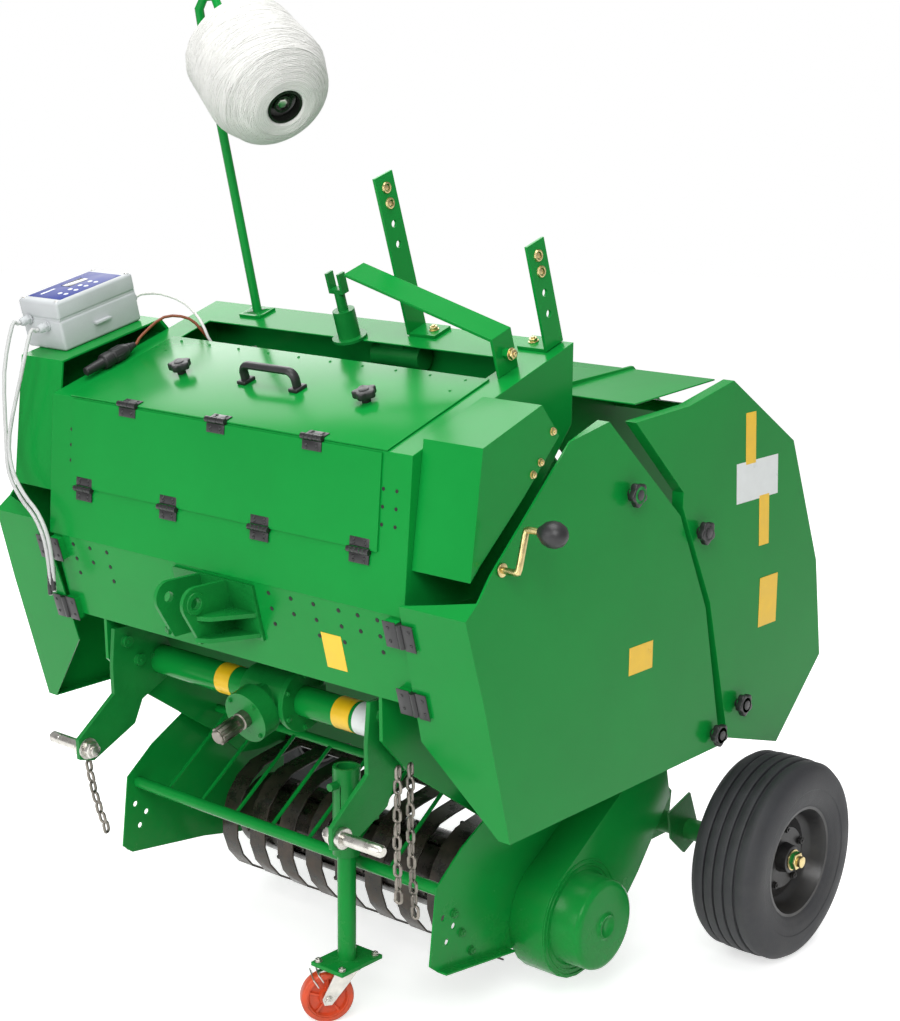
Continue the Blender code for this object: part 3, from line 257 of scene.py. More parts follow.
# ---------- materials ----------
plainFinish = {
    "rough": 0.38, "spread": 0.05, "vary": 0.08, "scale": 30, "wave": 300, "grain": 900, "grainShare": 0.5,
    "bump": 0.1, "metal": 0.0, "shine": 0.5, "coat": 0.0, "sheen": 0.0, "dust": 0.0, "dustTop": 0.4,
    "dustColor": (0.1, 0.085, 0.055, 1),
}
finishes = {
    # what differs from the plain finish
    "greenPaint": {
        "color": (0.004, 0.245, 0.036), "rough": 0.22, "scale": 2.2, "wave": 70, "grain": 400,
        "grainShare": 0.15, "bump": 0.035, "shine": 0.13, "dust": 0.2, "dustTop": 0.35,
    },
    "greenCast": {
        "color": (0.006, 0.195, 0.032), "rough": 0.34, "spread": 0.08, "vary": 0.16, "scale": 9, "wave": 120,
        "grain": 420, "grainShare": 0.8, "bump": 0.35, "shine": 0.2, "dust": 0.3, "dustTop": 0.5,
    },
    "darkSteel": {
        "color": (0.018, 0.02, 0.017), "rough": 0.24, "spread": 0.12, "vary": 0.45, "scale": 14, "wave": 60,
        "grain": 300, "bump": 0.18, "metal": 0.35, "dust": 0.45, "dustTop": 0.5,
        "dustColor": (0.16, 0.085, 0.05, 1),
    },
    "blackPaint": {
        "color": (0.012, 0.012, 0.013), "rough": 0.36, "spread": 0.1, "vary": 0.2, "scale": 18, "wave": 80,
        "grain": 500, "dust": 0.2,
    },
    "blackPlastic": {
        "color": (0.016, 0.016, 0.017), "rough": 0.4, "vary": 0.1, "wave": 500, "grain": 1600,
        "grainShare": 0.6, "bump": 0.15,
    },
    "rubber": {
        "color": (0.026, 0.027, 0.031), "rough": 0.62, "spread": 0.1, "vary": 0.3, "scale": 10, "wave": 180,
        "grainShare": 0.8, "bump": 0.3, "dust": 0.35, "dustColor": (0.12, 0.115, 0.11, 1),
    },
    "zinc": {
        "color": (0.58, 0.56, 0.52), "rough": 0.3, "spread": 0.1, "vary": 0.22, "scale": 40, "wave": 200,
        "grainShare": 0.4, "metal": 1.0,
    },
    "yellowZinc": {
        "color": (0.62, 0.5, 0.24), "rough": 0.32, "spread": 0.08, "vary": 0.25, "scale": 60, "wave": 200,
        "grainShare": 0.4, "bump": 0.08, "metal": 1.0,
    },
    "wornSteel": {
        "color": (0.22, 0.2, 0.175), "spread": 0.12, "vary": 0.45, "wave": 90, "grain": 500,
        "grainShare": 0.6, "bump": 0.25, "metal": 1.0,
    },
    "orangeWheel": {
        "color": (0.66, 0.07, 0.018), "spread": 0.08, "vary": 0.18, "scale": 35, "wave": 140,
        "grainShare": 0.4, "dust": 0.35, "dustTop": 0.1,
    },
    "twine": {
        "color": (0.66, 0.66, 0.635), "rough": 0.85, "vary": 0.07, "scale": 18, "wave": 260, "grain": 2400,
        "grainShare": 1.0, "bump": 0.5, "sheen": 0.2,
    },
    "greyPlastic": {
        "color": (0.47, 0.49, 0.5), "rough": 0.46, "vary": 0.05, "scale": 12, "grain": 1500,
        "grainShare": 0.6, "bump": 0.12, "shine": 0.3,
    },
    "blueFilm": {
        "color": (0.028, 0.045, 0.235), "rough": 0.42, "grain": 1500, "grainShare": 0.2, "bump": 0.04,
        "shine": 0.12,
    },
    "screenGlass": {
        "color": (0.01, 0.016, 0.02), "rough": 0.12, "spread": 0.03, "vary": 0.1, "scale": 60, "wave": 200,
        "grain": 1200, "grainShare": 0.2, "bump": 0.02, "coat": 0.5,
    },
    "paleKeys": {
        "color": (0.62, 0.65, 0.72), "vary": 0.06, "scale": 70, "grain": 1500, "grainShare": 0.3,
        "bump": 0.05,
    },
    "cableGrey": {
        "color": (0.5, 0.51, 0.5), "rough": 0.45, "spread": 0.08, "scale": 40, "grain": 1400, "bump": 0.12,
    },
    "cableWhite": {
        "color": (0.72, 0.72, 0.69), "rough": 0.42, "spread": 0.06, "vary": 0.06, "scale": 40, "grain": 1400,
    },
    "wireBrown": {
        "color": (0.23, 0.06, 0.022), "rough": 0.4, "spread": 0.06, "vary": 0.12, "scale": 40, "grain": 1400,
    },
    "yellowSticker": {
        "color": (0.86, 0.53, 0.012), "rough": 0.32, "vary": 0.05, "scale": 25, "wave": 60,
        "grainShare": 0.2, "bump": 0.05,
    },
    "whiteSticker": {
        "color": (0.74, 0.77, 0.76), "rough": 0.3, "vary": 0.04, "scale": 25, "wave": 60, "grainShare": 0.2,
        "bump": 0.05,
    },
    "shadowBlack": {"color": (0.006, 0.007, 0.006), "rough": 0.75, "vary": 0.2, "wave": 100, "grain": 600},
}


def makeMaterial(name, changes):
    look = {**plainFinish, **changes}
    material = bpy.data.materials.new(name)
    material.use_nodes = True
    tree = material.node_tree
    cloud = addNode(
        tree, "ShaderNodeGroup",
        {
            "Color": (*look["color"], 1), "Scale": look["scale"], "Strength": look["vary"],
            "Roughness": look["rough"], "Spread": look["spread"],
        },
        node_tree=blotch,
    )
    color, rough = cloud.outputs["Color"], cloud.outputs["Roughness"]
    if look["dust"]:
        soil = addNode(
            tree, "ShaderNodeGroup",
            {"Color": color, "Dust": look["dustColor"], "Top": look["dustTop"], "Amount": look["dust"]},
            node_tree=dust,
        )
        color = soil.outputs["Color"]
        rough = work(tree, "MULTIPLY_ADD", soil.outputs["Mask"], 0.5, rough)
    surface = addNode(
        tree, "ShaderNodeGroup",
        {"Wave Scale": look["wave"], "Grain Scale": look["grain"], "Grain": look["grainShare"]},
        node_tree=skin,
    )
    height = surface.outputs["Height"]
    bump = addNode(tree, "ShaderNodeBump", {"Strength": look["bump"], "Distance": 0.001, "Height": height})
    feed(tree, tree.nodes["Principled BSDF"], {
        "Base Color": color, "Roughness": rough, "Metallic": look["metal"],
        "Specular IOR Level": look["shine"],
        "Coat Weight": look["coat"], "Coat Roughness": 0.12, "Sheen Weight": look["sheen"],
        "Normal": bump.outputs["Normal"],
    })
    return material


materials = {name: makeMaterial(name, look) for name, look in finishes.items()}
print("materials made:", len(materials))


# ---------- modelling helpers ----------
def finish(mesh, name, finishName, body, place=None, smoothDeg=sharpDeg, weld=weldGap, replaces=()):
    # places, welds, turns the faces outwards, and hands the piece over to its body
    if place is not None:
        bmesh.ops.transform(mesh, matrix=place, verts=mesh.verts)
    bmesh.ops.remove_doubles(mesh, verts=mesh.verts, dist=weld)
    bmesh.ops.recalc_face_normals(mesh, faces=mesh.faces)
    data = bpy.data.meshes.new(name)
    mesh.to_mesh(data)
    mesh.free()
    piece = bpy.data.objects.new(name, data)
    bpy.context.collection.objects.link(piece)
    data.materials.append(materials[finishName])
    data.shade_smooth()
    data.set_sharp_from_angle(angle=math.radians(smoothDeg))
    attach(piece, body)
    if replaces:
        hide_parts(*replaces)
    return piece


def addPart(mesh, part, place=None):  # joins one small shape into a larger mesh
    if place is not None:
        bmesh.ops.transform(part, matrix=place, verts=part.verts)
    data = bpy.data.meshes.new("part")
    part.to_mesh(data)
    part.free()
    mesh.from_mesh(data)
    bpy.data.meshes.remove(data)


def softenEdges(mesh, width, segments=2, overDeg=sharpDeg):
    edges = [e for e in mesh.edges if e.is_manifold and e.calc_face_angle(0) > math.radians(overDeg)]
    bmesh.ops.bevel(
        mesh, geom=edges, offset=width, offset_type="OFFSET", affect="EDGES",
        segments=segments, profile=0.5, material=-1, clamp_overlap=True,
    )


def block(low, high, soft=0.0, segments=2):
    part = bmesh.new()
    bmesh.ops.create_cube(part, size=1)
    low, high = Vector(low), Vector(high)
    size = high - low
    bmesh.ops.scale(part, vec=size, verts=part.verts)
    bmesh.ops.translate(part, vec=(low + high) / 2, verts=part.verts)
    if soft:
        softenEdges(part, soft, segments)
    return part


def lathe(profile, steps=48, closed=True):  # rows are distance along z and radius, spun about z
    part = bmesh.new()
    rows = [part.verts.new((radius, 0, height)) for height, radius in profile]
    edges = [part.edges.new((a, b)) for a, b in zip(rows, rows[1:])]
    if closed:
        edges.append(part.edges.new((rows[-1], rows[0])))
    bmesh.ops.spin(
        part, geom=rows + edges, cent=(0, 0, 0), axis=(0, 0, 1), angle=fullTurn,
        steps=steps, use_merge=True, use_duplicate=False,
    )
    bmesh.ops.remove_doubles(part, verts=part.verts, dist=0.000001)
    bmesh.ops.dissolve_degenerate(part, edges=part.edges, dist=0.000001)
    return part


def disc(radius, low, high, soft=0.0, steps=24):  # a round bar or washer along z
    part = bmesh.new()
    bmesh.ops.create_cone(
        part, cap_ends=True, segments=steps, radius1=radius, radius2=radius, depth=high - low
    )
    bmesh.ops.translate(part, vec=(0, 0, (low + high) / 2), verts=part.verts)
    if soft:
        softenEdges(part, soft, 2, 60)
    return part


def bolt(size, washer=True):  # hexagon head on a washer, along z from its seat
    part = bmesh.new()
    if washer:
        addPart(part, disc(size * 1.15, 0, size * 0.22, size * 0.06, 20))
    head = disc(size, size * 0.2, size * 0.85, size * 0.12, 6)
    addPart(part, head)
    addPart(part, disc(size * 0.45, size * 0.8, size * 1.15, size * 0.08, 12))
    return part


def roundScrew(size):
    part = bmesh.new()
    bmesh.ops.create_uvsphere(part, u_segments=12, v_segments=8, radius=size)
    lower = [v for v in part.verts if v.co.z < -0.0001 * size]
    for v in lower:
        v.co.z = 0
    bmesh.ops.scale(part, vec=(1, 1, 0.55), verts=part.verts)
    return part


def knobShape():  # five-lobed star knob on a stem, along z from its seat
    part = bmesh.new()
    addPart(part, disc(0.0085, 0, 0.012, 0.001, 20))
    head = bmesh.new()
    bmesh.ops.create_circle(head, cap_ends=True, segments=60, radius=0.0205)
    for v in head.verts:
        angle = math.atan2(v.co.y, v.co.x)
        v.co *= 1 + 0.12 * math.cos(5 * angle)
    made = bmesh.ops.extrude_face_region(head, geom=head.faces[:])
    top = [item for item in made["geom"] if isinstance(item, bmesh.types.BMVert)]
    bmesh.ops.translate(head, vec=(0, 0, 0.0135), verts=top)
    bmesh.ops.translate(head, vec=(0, 0, 0.0105), verts=head.verts)
    softenEdges(head, 0.0028, 3, 60)
    addPart(part, head)
    addPart(part, disc(0.0095, 0.0235, 0.0252, 0.0006, 20))
    return part


def sweep(name, points, radius, roundness):  # a curve object with a round section
    curve = bpy.data.curves.new(name, "CURVE")
    curve.dimensions = "3D"
    curve.bevel_depth = radius
    curve.bevel_resolution = roundness
    curve.use_fill_caps = True
    spline = curve.splines.new("POLY")
    spline.points.add(len(points) - 1)
    for knot, point in zip(spline.points, points):
        knot.co = (*point, 1)
    holder = bpy.data.objects.new(name, curve)
    bpy.context.collection.objects.link(holder)
    return holder, spline


def tube(points, radius, sides=12, closed=False):  # a round bar swept through points
    holder, spline = sweep("sweep", points, radius, max(sides // 4, 1))
    spline.use_cyclic_u = closed
    bpy.context.view_layer.update()
    data = bpy.data.meshes.new_from_object(holder)
    part = bmesh.new()
    part.from_mesh(data)
    bpy.data.objects.remove(holder)
    bpy.data.meshes.remove(data)
    bmesh.ops.remove_doubles(part, verts=part.verts, dist=0.00001)
    return part


def smoothRoute(route, steps):
    route = [Vector(point) for point in route]
    ends = [route[0] * 2 - route[1], *route, route[-1] * 2 - route[-2]]
    points = []
    for i in range(1, len(ends) - 2):
        a, b, c, d = ends[i - 1: i + 3]
        last = i == len(ends) - 3
        for step in range(steps + last):
            t = step / steps
            points.append(
                0.5 * (2 * b + (c - a) * t + (2 * a - 5 * b + 4 * c - d) * t**2 + (3 * b - a - 3 * c + d) * t**3)
            )
    return points


# ---------- cables: three lie free of the machine, as their routes in the frame ----------
cables = {
    "radius": 0.004,
    "wire": 0.003,
    "gap": 0.0007,
    "glands": (("outer", -0.035, 0.060), ("inner", 0.018, 0.050)),
    "glandLength": 0.024,
}


def cordPiece(name, points, radius, finishName, **facts):
    piece, spline = sweep(name, points, radius, 4)
    spline.use_smooth = True
    piece.data.materials.append(materials[finishName])
    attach(piece, "frame")
    return piece


def makePlug():
    lowY, highY = upSlope(-0.442), upSlope(-0.318)
    length = highY - lowY
    shell = lathe(
        ((0.0, 0.0), (0.0, 0.0072), (0.0015, 0.0088), (0.0420, 0.0100), (0.0440, 0.0104), (0.0460, 0.0150),
         (0.0480, 0.0158), (0.0640, 0.0158), (0.0655, 0.0140), (0.0700, 0.0140), (0.0715, 0.0158),
         (0.0960, 0.0158),
         (0.1000, 0.0142), (0.1080, 0.0122), (0.1100, 0.0104), (0.1140, 0.0104), (0.1155, 0.0094),
         (0.1200, 0.0088),
         (0.1215, 0.0070), (length, 0.0062), (length, 0.0)), 40, False,
    )
    for i in range(18):
        rib = block((0.0150, -0.0008, 0.0740), (0.0162, 0.0008, 0.0940), 0.0003, 1)
        addPart(shell, rib, Matrix.Rotation(fullTurn * i / 18, 4, "Z"))
    for side in (-1, 1):
        addPart(shell, disc(0.0018, -0.0002, 0.012, 0.0004, 12), Matrix.Translation((side * 0.004, 0, 0)))
    place = deck @ turnTo((-0.4385, lowY, 0.0163), (0, 1, 0))
    return finish(shell, "plug_skin", "blackPlastic", "frame", replaces=("plug",), place=place)


def makeCables():
    along = boxFrame.to_3x3() @ Vector((0, 1, 0))
    hanging = (
        (-0.575, -0.532, 1.030),
        (-0.560, -0.540, 0.965),
        (-0.505, -0.556, 0.925),
        (-0.455, -0.562, 0.895),
        (-0.432, -0.558, 0.850),
        (-0.428, -0.552, 0.790),
        (-0.430, -0.548, 0.740),
    )
    for label, x, z in cables["glands"]:
        mouth = boxFrame @ Vector((x, -0.100 - cables["glandLength"] - cables["gap"], z))
        apart = Vector((-0.011, 0, -0.009)) if label == "outer" else Vector((0, 0, 0))
        route = [mouth, mouth - along * 0.006, mouth - along * 0.020, Vector((mouth.x, -0.522 + shiftY, 1.150))]
        route += [at(*point) + apart for point in hanging]
        piece = cordPiece(
            "cable_" + label + "_skin", smoothRoute(route, 3), cables["radius"], "cableGrey",
            far_end="bare", stiffness="medium", lay="hanging",
        )
        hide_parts("cable_" + label)
    wallY = -0.075 - 0.003 - cables["gap"]
    deckAlong = deck.to_3x3() @ Vector((0, 1, 0))
    start = deck @ Vector((-0.4385, upSlope(-0.318) + cables["gap"], 0.0163))
    route = (
        start,
        start + deckAlong * 0.006,
        start + deckAlong * 0.022 + Vector((0, 0, 0.010)),
        at(-0.425, -0.255, 1.252),
        at(-0.395, -0.215, 1.248),
        at(-0.372, -0.192, 1.215),
        at(-0.368, -0.160, 1.180),
        at(-0.366, wallY - 0.024, 1.166),
        at(-0.366, wallY - 0.012, 1.165),
        at(-0.366, wallY, 1.165),
    )
    inPlug = start - deckAlong * 0.022  # the wires run on into the plug's sleeve
    wires = cordPiece(
        "plug_wires_skin", [inPlug, *smoothRoute(route, 3)][::-1], cables["wire"], "wireBrown",
        far_end="plug", stiffness="medium", lay="loose", with_pieces=[makePlug()],
    )
    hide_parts("plug_wires")
    start = boxFrame @ Vector((0.030, 0.120 + cables["gap"], 0.040))
    route = (
        start,
        start + along * 0.006,
        start + along * 0.018,
        at(-0.490, -0.205, 1.290),
        at(-0.430, -0.195, 1.275),
        at(-0.372, -0.205, 1.245),
        at(-0.350, -0.195, 1.200),
        at(-0.345, -0.150, 1.185),
        at(-0.344, wallY - 0.012, 1.182),
        at(-0.344, wallY, 1.182),
    )
    white = cordPiece(
        "white_cable_skin", smoothRoute(route, 3), cables["wire"], "cableWhite",
        far_end="object", stiffness="medium", lay="loose",
    )
    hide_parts("white_cable")


makeCables()
print("cables laid")

# ---------- sheet metal and castings: welded copies of the frame's solids with softened edges ----------
softened = {
    # node: finish, edge radius
    "cover_housing": ("greenPaint", 0.0012),
    "side_box_left": ("greenPaint", 0.0020),
    "side_box_right": ("greenPaint", 0.0020),
    "side_cover_left": ("greenPaint", 0.0012),
    "side_cover_right": ("greenPaint", 0.0012),
    "tailgate_guard_left": ("greenPaint", 0.0012),
    "tailgate_guard_right": ("greenPaint", 0.0012),
    "tailgate_frame": ("greenPaint", 0.0010),
    "front_panel": ("greenPaint", 0.0008),
    "side_plate_left": ("greenPaint", 0.0010),
    "side_plate_right": ("greenPaint", 0.0010),
    "pickup_side_left": ("greenPaint", 0.0010),
    "pickup_side_right": ("greenPaint", 0.0010),
    "wind_guard": ("greenPaint", 0.0006),
    "flap": ("greenPaint", 0.0007),
    "hitch_arm_left": ("greenCast", 0.0020),
    "hitch_arm_right": ("greenCast", 0.0020),
    "top_link_bracket": ("greenCast", 0.0015),
    "stand_sleeve": ("greenCast", 0.0010),
    "stand_leg": ("greenPaint", 0.0010),
    "gearbox": ("greenCast", 0.0020),
    "drive_tube_left": ("greenPaint", 0.0006),
    "drive_tube_right": ("greenPaint", 0.0006),
    "strap": ("greenPaint", 0.0010),
    "upright_left": ("greenPaint", 0.0008),
    "upright_right": ("greenPaint", 0.0008),
    "twine_actuator": ("greenCast", 0.0010),
    "twine_motor": ("greenCast", 0.0015),
    "spool_post": ("greenPaint", 0.0006),
    "axle_left": ("greenCast", 0.0010),
    "axle_right": ("greenCast", 0.0010),
    "pickup_reel": ("darkSteel", 0.0008),
    "stripper_bands": ("darkSteel", 0.0010),
    "front_roller_1": ("darkSteel", 0.0010),
    "front_roller_2": ("darkSteel", 0.0010),
    "rear_roller_1": ("darkSteel", 0.0010),
    "rear_roller_2": ("darkSteel", 0.0010),
    "rear_roller_3": ("darkSteel", 0.0010),
    "caster_fork": ("zinc", 0.0006),
}


def softCopy(node, finishName, width):
    mesh = bmesh.new()
    mesh.from_mesh(nodes[node].data)
    bmesh.ops.remove_doubles(mesh, verts=mesh.verts, dist=weldGap)
    bmesh.ops.dissolve_limit(mesh, angle_limit=math.radians(flatDeg), verts=mesh.verts, edges=mesh.edges)
    softenEdges(mesh, width)
    bmesh.ops.triangulate(mesh, faces=[face for face in mesh.faces if len(face.verts) > 4])
    piece = finish(mesh, node + "_skin", finishName, bodyOf[node], replaces=(node,))
    flat = piece.modifiers.new("flatFaces", "WEIGHTED_NORMAL")
    flat.weight = 80
    flat.keep_sharp = True
    return piece


for nodeName, (finishName, width) in softened.items():
    softCopy(nodeName, finishName, width)
print("softened pieces:", len(softened))


# ---------- lid, with its bail handle and star knobs ----------
lidSizes = {"half": 0.410, "frontY": -0.508, "rearY": -0.243, "gap": 0.0005, "sheet": 0.003}


def makeLid():
    top = lidSizes["gap"] + lidSizes["sheet"]
    sheet = block(
        (-lidSizes["half"], upSlope(lidSizes["frontY"]), lidSizes["gap"]),
        (lidSizes["half"], upSlope(lidSizes["rearY"]), top), 0.0012, 3,
    )
    finish(sheet, "lid_sheet", "greenPaint", "lid", replaces=("lid",), place=deck)
    middle = upSlope(-0.370)
    handle = bmesh.new()
    rise, reach = 0.040, 0.067
    bail = [Vector((-reach, middle, top)), Vector((-reach, middle, top + 0.018))]
    corner = 0.016
    for side in (-1, 1):
        for step in range(7):
            turn = math.radians(90 * step / 6)
            if side < 0:
                x = -reach + corner - corner * math.cos(turn)
            else:
                x = reach - corner + corner * math.sin(turn)
            lift = math.sin(turn) if side < 0 else math.cos(turn)
            bail.append(Vector((x, middle, top + rise - corner - 0.004 + corner * lift)))
    bail += [Vector((reach, middle, top + 0.018)), Vector((reach, middle, top))]
    grip = tube(bail, 0.0072, 16)
    for v in grip.verts:
        v.co.y = middle + (v.co.y - middle) * 1.3
    addPart(handle, grip)
    for side in (-1, 1):
        foot = block(
            (side * reach - 0.011, middle - 0.015, top), (side * reach + 0.011, middle + 0.015, top + 0.007),
            0.002, 3
        )
        addPart(handle, foot)
    finish(handle, "lid_handle", "blackPlastic", "lid", place=deck)
    knobs = bmesh.new()
    for x in (-0.24, 0.24):
        addPart(knobs, knobShape(), deck @ Matrix.Translation((x, upSlope(-0.374), top)))
    finish(knobs, "lid_knobs", "blackPlastic", "lid")


makeLid()


# ---------- black leaf hinges ----------
def hingeLeaf(width, reach, thick, away):  # a leaf in x and y with its four screws, its edge at y 0
    low, high = sorted((away * 0.002, away * reach))
    part = block((-width / 2, low, 0), (width / 2, high, thick), thick * 0.3, 2)
    for x in (-width * 0.28, width * 0.28):
        for share in (0.45, 0.80):
            addPart(part, roundScrew(0.0030), Matrix.Translation((x, away * reach * share, thick)))
    return part


def hingeBarrel(width, radius, odd):  # every second knuckle along x
    part = bmesh.new()
    count = 5
    for i in range(odd, count, 2):
        start = -width / 2 + width * i / count
        knuckle = disc(radius, start + 0.0003, start + width / count - 0.0003, 0.0004, 20)
        bmesh.ops.transform(knuckle, matrix=Matrix.Rotation(math.radians(90), 4, "Y"), verts=knuckle.verts)
        addPart(part, knuckle)
    return part


def makeLidHinges():
    faceTilt = math.atan2(0.020, 0.2727)
    faceOut = Vector((0, -math.cos(faceTilt), math.sin(faceTilt)))
    faceUp = Vector((0, math.sin(faceTilt), math.cos(faceTilt)))
    faceTurn = Matrix((Vector((1, 0, 0)), faceUp, faceOut)).transposed().to_4x4()
    onFrame, onFlap, onLid = bmesh.new(), bmesh.new(), bmesh.new()
    for x in (-0.36, -0.12, 0.12, 0.36):
        place = Matrix.Translation(at(x, -0.5262, 0.950) + faceOut * -0.0040) @ faceTurn
        addPart(onFlap, hingeLeaf(0.046, 0.019, 0.0020, 1), place @ Matrix.Translation((0, 0.0035, 0.0002)))
        addPart(
            onFrame, hingeLeaf(0.046, 0.019, 0.0020, -1), place @ Matrix.Translation((0, -0.0035, 0.0002))
        )
        center = Matrix.Translation(at(x, -0.5262, 0.950))
        addPart(onFlap, hingeBarrel(0.051, 0.0056, 0), center)
        addPart(onFlap, hingeBarrel(0.051, 0.0054, 1), center)
    for x in (-0.24, 0.0, 0.24):
        axis = at(x, -0.5125, 1.1265)
        place = Matrix.Translation(axis + faceOut * -0.0035) @ faceTurn
        addPart(onFlap, hingeLeaf(0.046, 0.019, 0.0020, -1), place @ Matrix.Translation((0, -0.0045, 0.0020)))
        lidPlace = deck @ Matrix.Translation((x, upSlope(-0.5127) + 0.003, 0.0036))
        addPart(onLid, hingeLeaf(0.046, 0.020, 0.0020, 1), lidPlace)
        addPart(onLid, hingeBarrel(0.051, 0.0056, 0), Matrix.Translation(axis))
        addPart(onLid, hingeBarrel(0.051, 0.0054, 1), Matrix.Translation(axis))
    finish(onFrame, "flap_hinge_leaves", "blackPaint", "frame")
    finish(onFlap, "flap_hinges", "blackPaint", "flap")
    finish(onLid, "lid_hinges", "blackPaint", "lid")


makeLidHinges()


def makeDoorHinges():
    turn = Matrix((Vector((1, 0, 0)), -shaftAxis, hingeAxis)).transposed().to_4x4()
    for side, label, body in ((-1, "left", "door_left"), (1, "right", "door_right")):
        origin = Matrix.Translation(at(side * 0.462, -0.514, 0.760)) @ turn
        fixed, moving = bmesh.new(), bmesh.new()
        for place in (0.063, -0.069):
            for inner, reach, target in ((side * -0.0072, -side * 0.036, fixed), (side * 0.0072, side * 0.031, moving)):
                low, high = sorted((inner, reach))
                front = -0.0028 if target is fixed else -0.0034
                leaf = block((low, front, place - 0.025), (high, front + 0.0015, place + 0.025), 0.0005, 2)
                addPart(target, leaf)
                for z in (-0.013, 0.013):
                    spot = Matrix.Translation(((inner + reach) / 2 * 1.15, front, place + z))
                    addPart(target, roundScrew(0.0034), spot @ Matrix.Rotation(math.radians(90), 4, "X"))
            addPart(moving, disc(0.0066, place - 0.0228, place + 0.0228, 0.0006, 20))
        for target, name, rider in ((fixed, "door_hinge_leaf_", "frame"), (moving, "door_hinge_", body)):
            finish(target, name + label, "blackPaint", rider, place=origin)


makeDoorHinges()


# ---------- star knobs on the side covers and guards ----------
def makeSideKnobs():
    for side, label in ((-1, "left"), (1, "right")):
        for body, places in (
            ("door_" + label, ((-0.090, 1.015), (0.195, 0.500))),
            ("tailgate", ((0.130, 0.909), (0.280, 0.540))),
        ):
            knobs = bmesh.new()
            for y, z in places:
                seat = at(side * coverX(y, z), y, z)
                addPart(knobs, knobShape(), turnTo(seat, (side, 0, 0)))
            finish(knobs, "star_knobs_" + body + "_" + label, "blackPlastic", body)


makeSideKnobs()
print("lid, hinges and knobs made")

# ---------- road wheels ----------
tyreSizes = {"radius": 0.2032, "half": 0.075, "bead": 0.058, "rim": 0.108, "x": 0.653, "y": 0.383}


def tyreProfile():
    radius, half = tyreSizes["radius"], tyreSizes["half"]
    tread = []
    ribs = 5
    width = 0.058  # half of the ribbed band
    groove, depth = 0.0055, 0.0055
    pitch = 2 * width / ribs
    for i in range(ribs):
        start = -width + pitch * i
        crown = radius - 0.0035 * abs((start + pitch / 2) / width) ** 2
        tread += [(start + groove / 2, crown - 0.0006), (start + groove / 2 + 0.0012, crown)]
        tread += [(start + pitch - groove / 2 - 0.0012, crown), (start + pitch - groove / 2, crown - 0.0006)]
        if i < ribs - 1:
            tread += [(start + pitch - groove * 0.3, crown - depth), (start + pitch + groove * 0.3, crown - depth)]
    wall = [
        (width + 0.008, radius - 0.0100),
        (half - 0.0035, radius - 0.0200),
        (half - 0.0008, radius - 0.0360),
        (half, radius - 0.0520),
        (half - 0.0004, radius - 0.0535),
        (half - 0.0016, radius - 0.0545),
        (half - 0.0024, radius - 0.0700),
        (half - 0.0040, radius - 0.0730),
        (half - 0.0060, tyreSizes["rim"] + 0.0130),
        (half - 0.0110, tyreSizes["rim"] + 0.0050),
        (tyreSizes["bead"], tyreSizes["rim"] + 0.0008),
    ]
    left = [(-distance, across) for distance, across in reversed(wall)]
    return left + tread + wall


def makeWheels():
    for side, label in ((-1, "left"), (1, "right")):
        center = turnTo(
            at(side * tyreSizes["x"], tyreSizes["y"], tyreSizes["radius"]), (side, 0, 0), (0, 0, 1)
        )
        body = "wheel_" + label
        tyre = lathe(tyreProfile(), 120)
        finish(tyre, "tyre_" + label + "_skin", "rubber", body, replaces=("tyre_" + label,), place=center)
        rimOut = tyreSizes["rim"]
        rim = lathe(
            (
                (-0.058, rimOut - 0.0002), (0.056, rimOut - 0.0002), (0.0575, rimOut + 0.005),
                (0.0605, rimOut + 0.008),
                (0.064, rimOut + 0.006), (0.063, rimOut - 0.001), (0.054, rimOut - 0.0060),
                (0.034, rimOut - 0.0110),
                (0.024, rimOut - 0.0170), (0.020, rimOut - 0.0240), (0.024, 0.072), (0.030, 0.062),
                (0.026, 0.048),
                (0.026, 0.031), (0.036, 0.029), (0.0462, 0.0275), (0.0475, 0.0255), (0.0475, 0.0131),
                (-0.045, 0.0131),
                (-0.045, 0.028), (0.012, 0.030), (0.012, 0.050), (0.016, 0.062), (0.010, 0.074),
                (0.006, rimOut - 0.020), (-0.010, rimOut - 0.014), (-0.058, rimOut - 0.0070),
            ), 96,
        )
        finish(rim, "rim_" + label + "_skin", "blackPaint", body, replaces=("rim_" + label,), place=center)
        bolts = bmesh.new()
        for i in range(5):
            spot = Matrix.Rotation(fullTurn * i / 5, 4, "Z") @ Matrix.Translation((0.060, 0, 0.0295))
            addPart(bolts, bolt(0.0075), spot)
        finish(bolts, "rim_bolts_" + label, "blackPaint", body, place=center)
        nut = bmesh.new()
        addPart(nut, disc(0.0215, 0.0480, 0.0505, 0.0006, 28))
        addPart(nut, disc(0.0185, 0.0502, 0.0615, 0.0012, 6))
        addPart(nut, disc(0.0115, 0.060, 0.0705, 0.0012, 24))
        finish(nut, "hub_nut_" + label, "yellowZinc", "frame", place=center)


makeWheels()
print("wheels made")


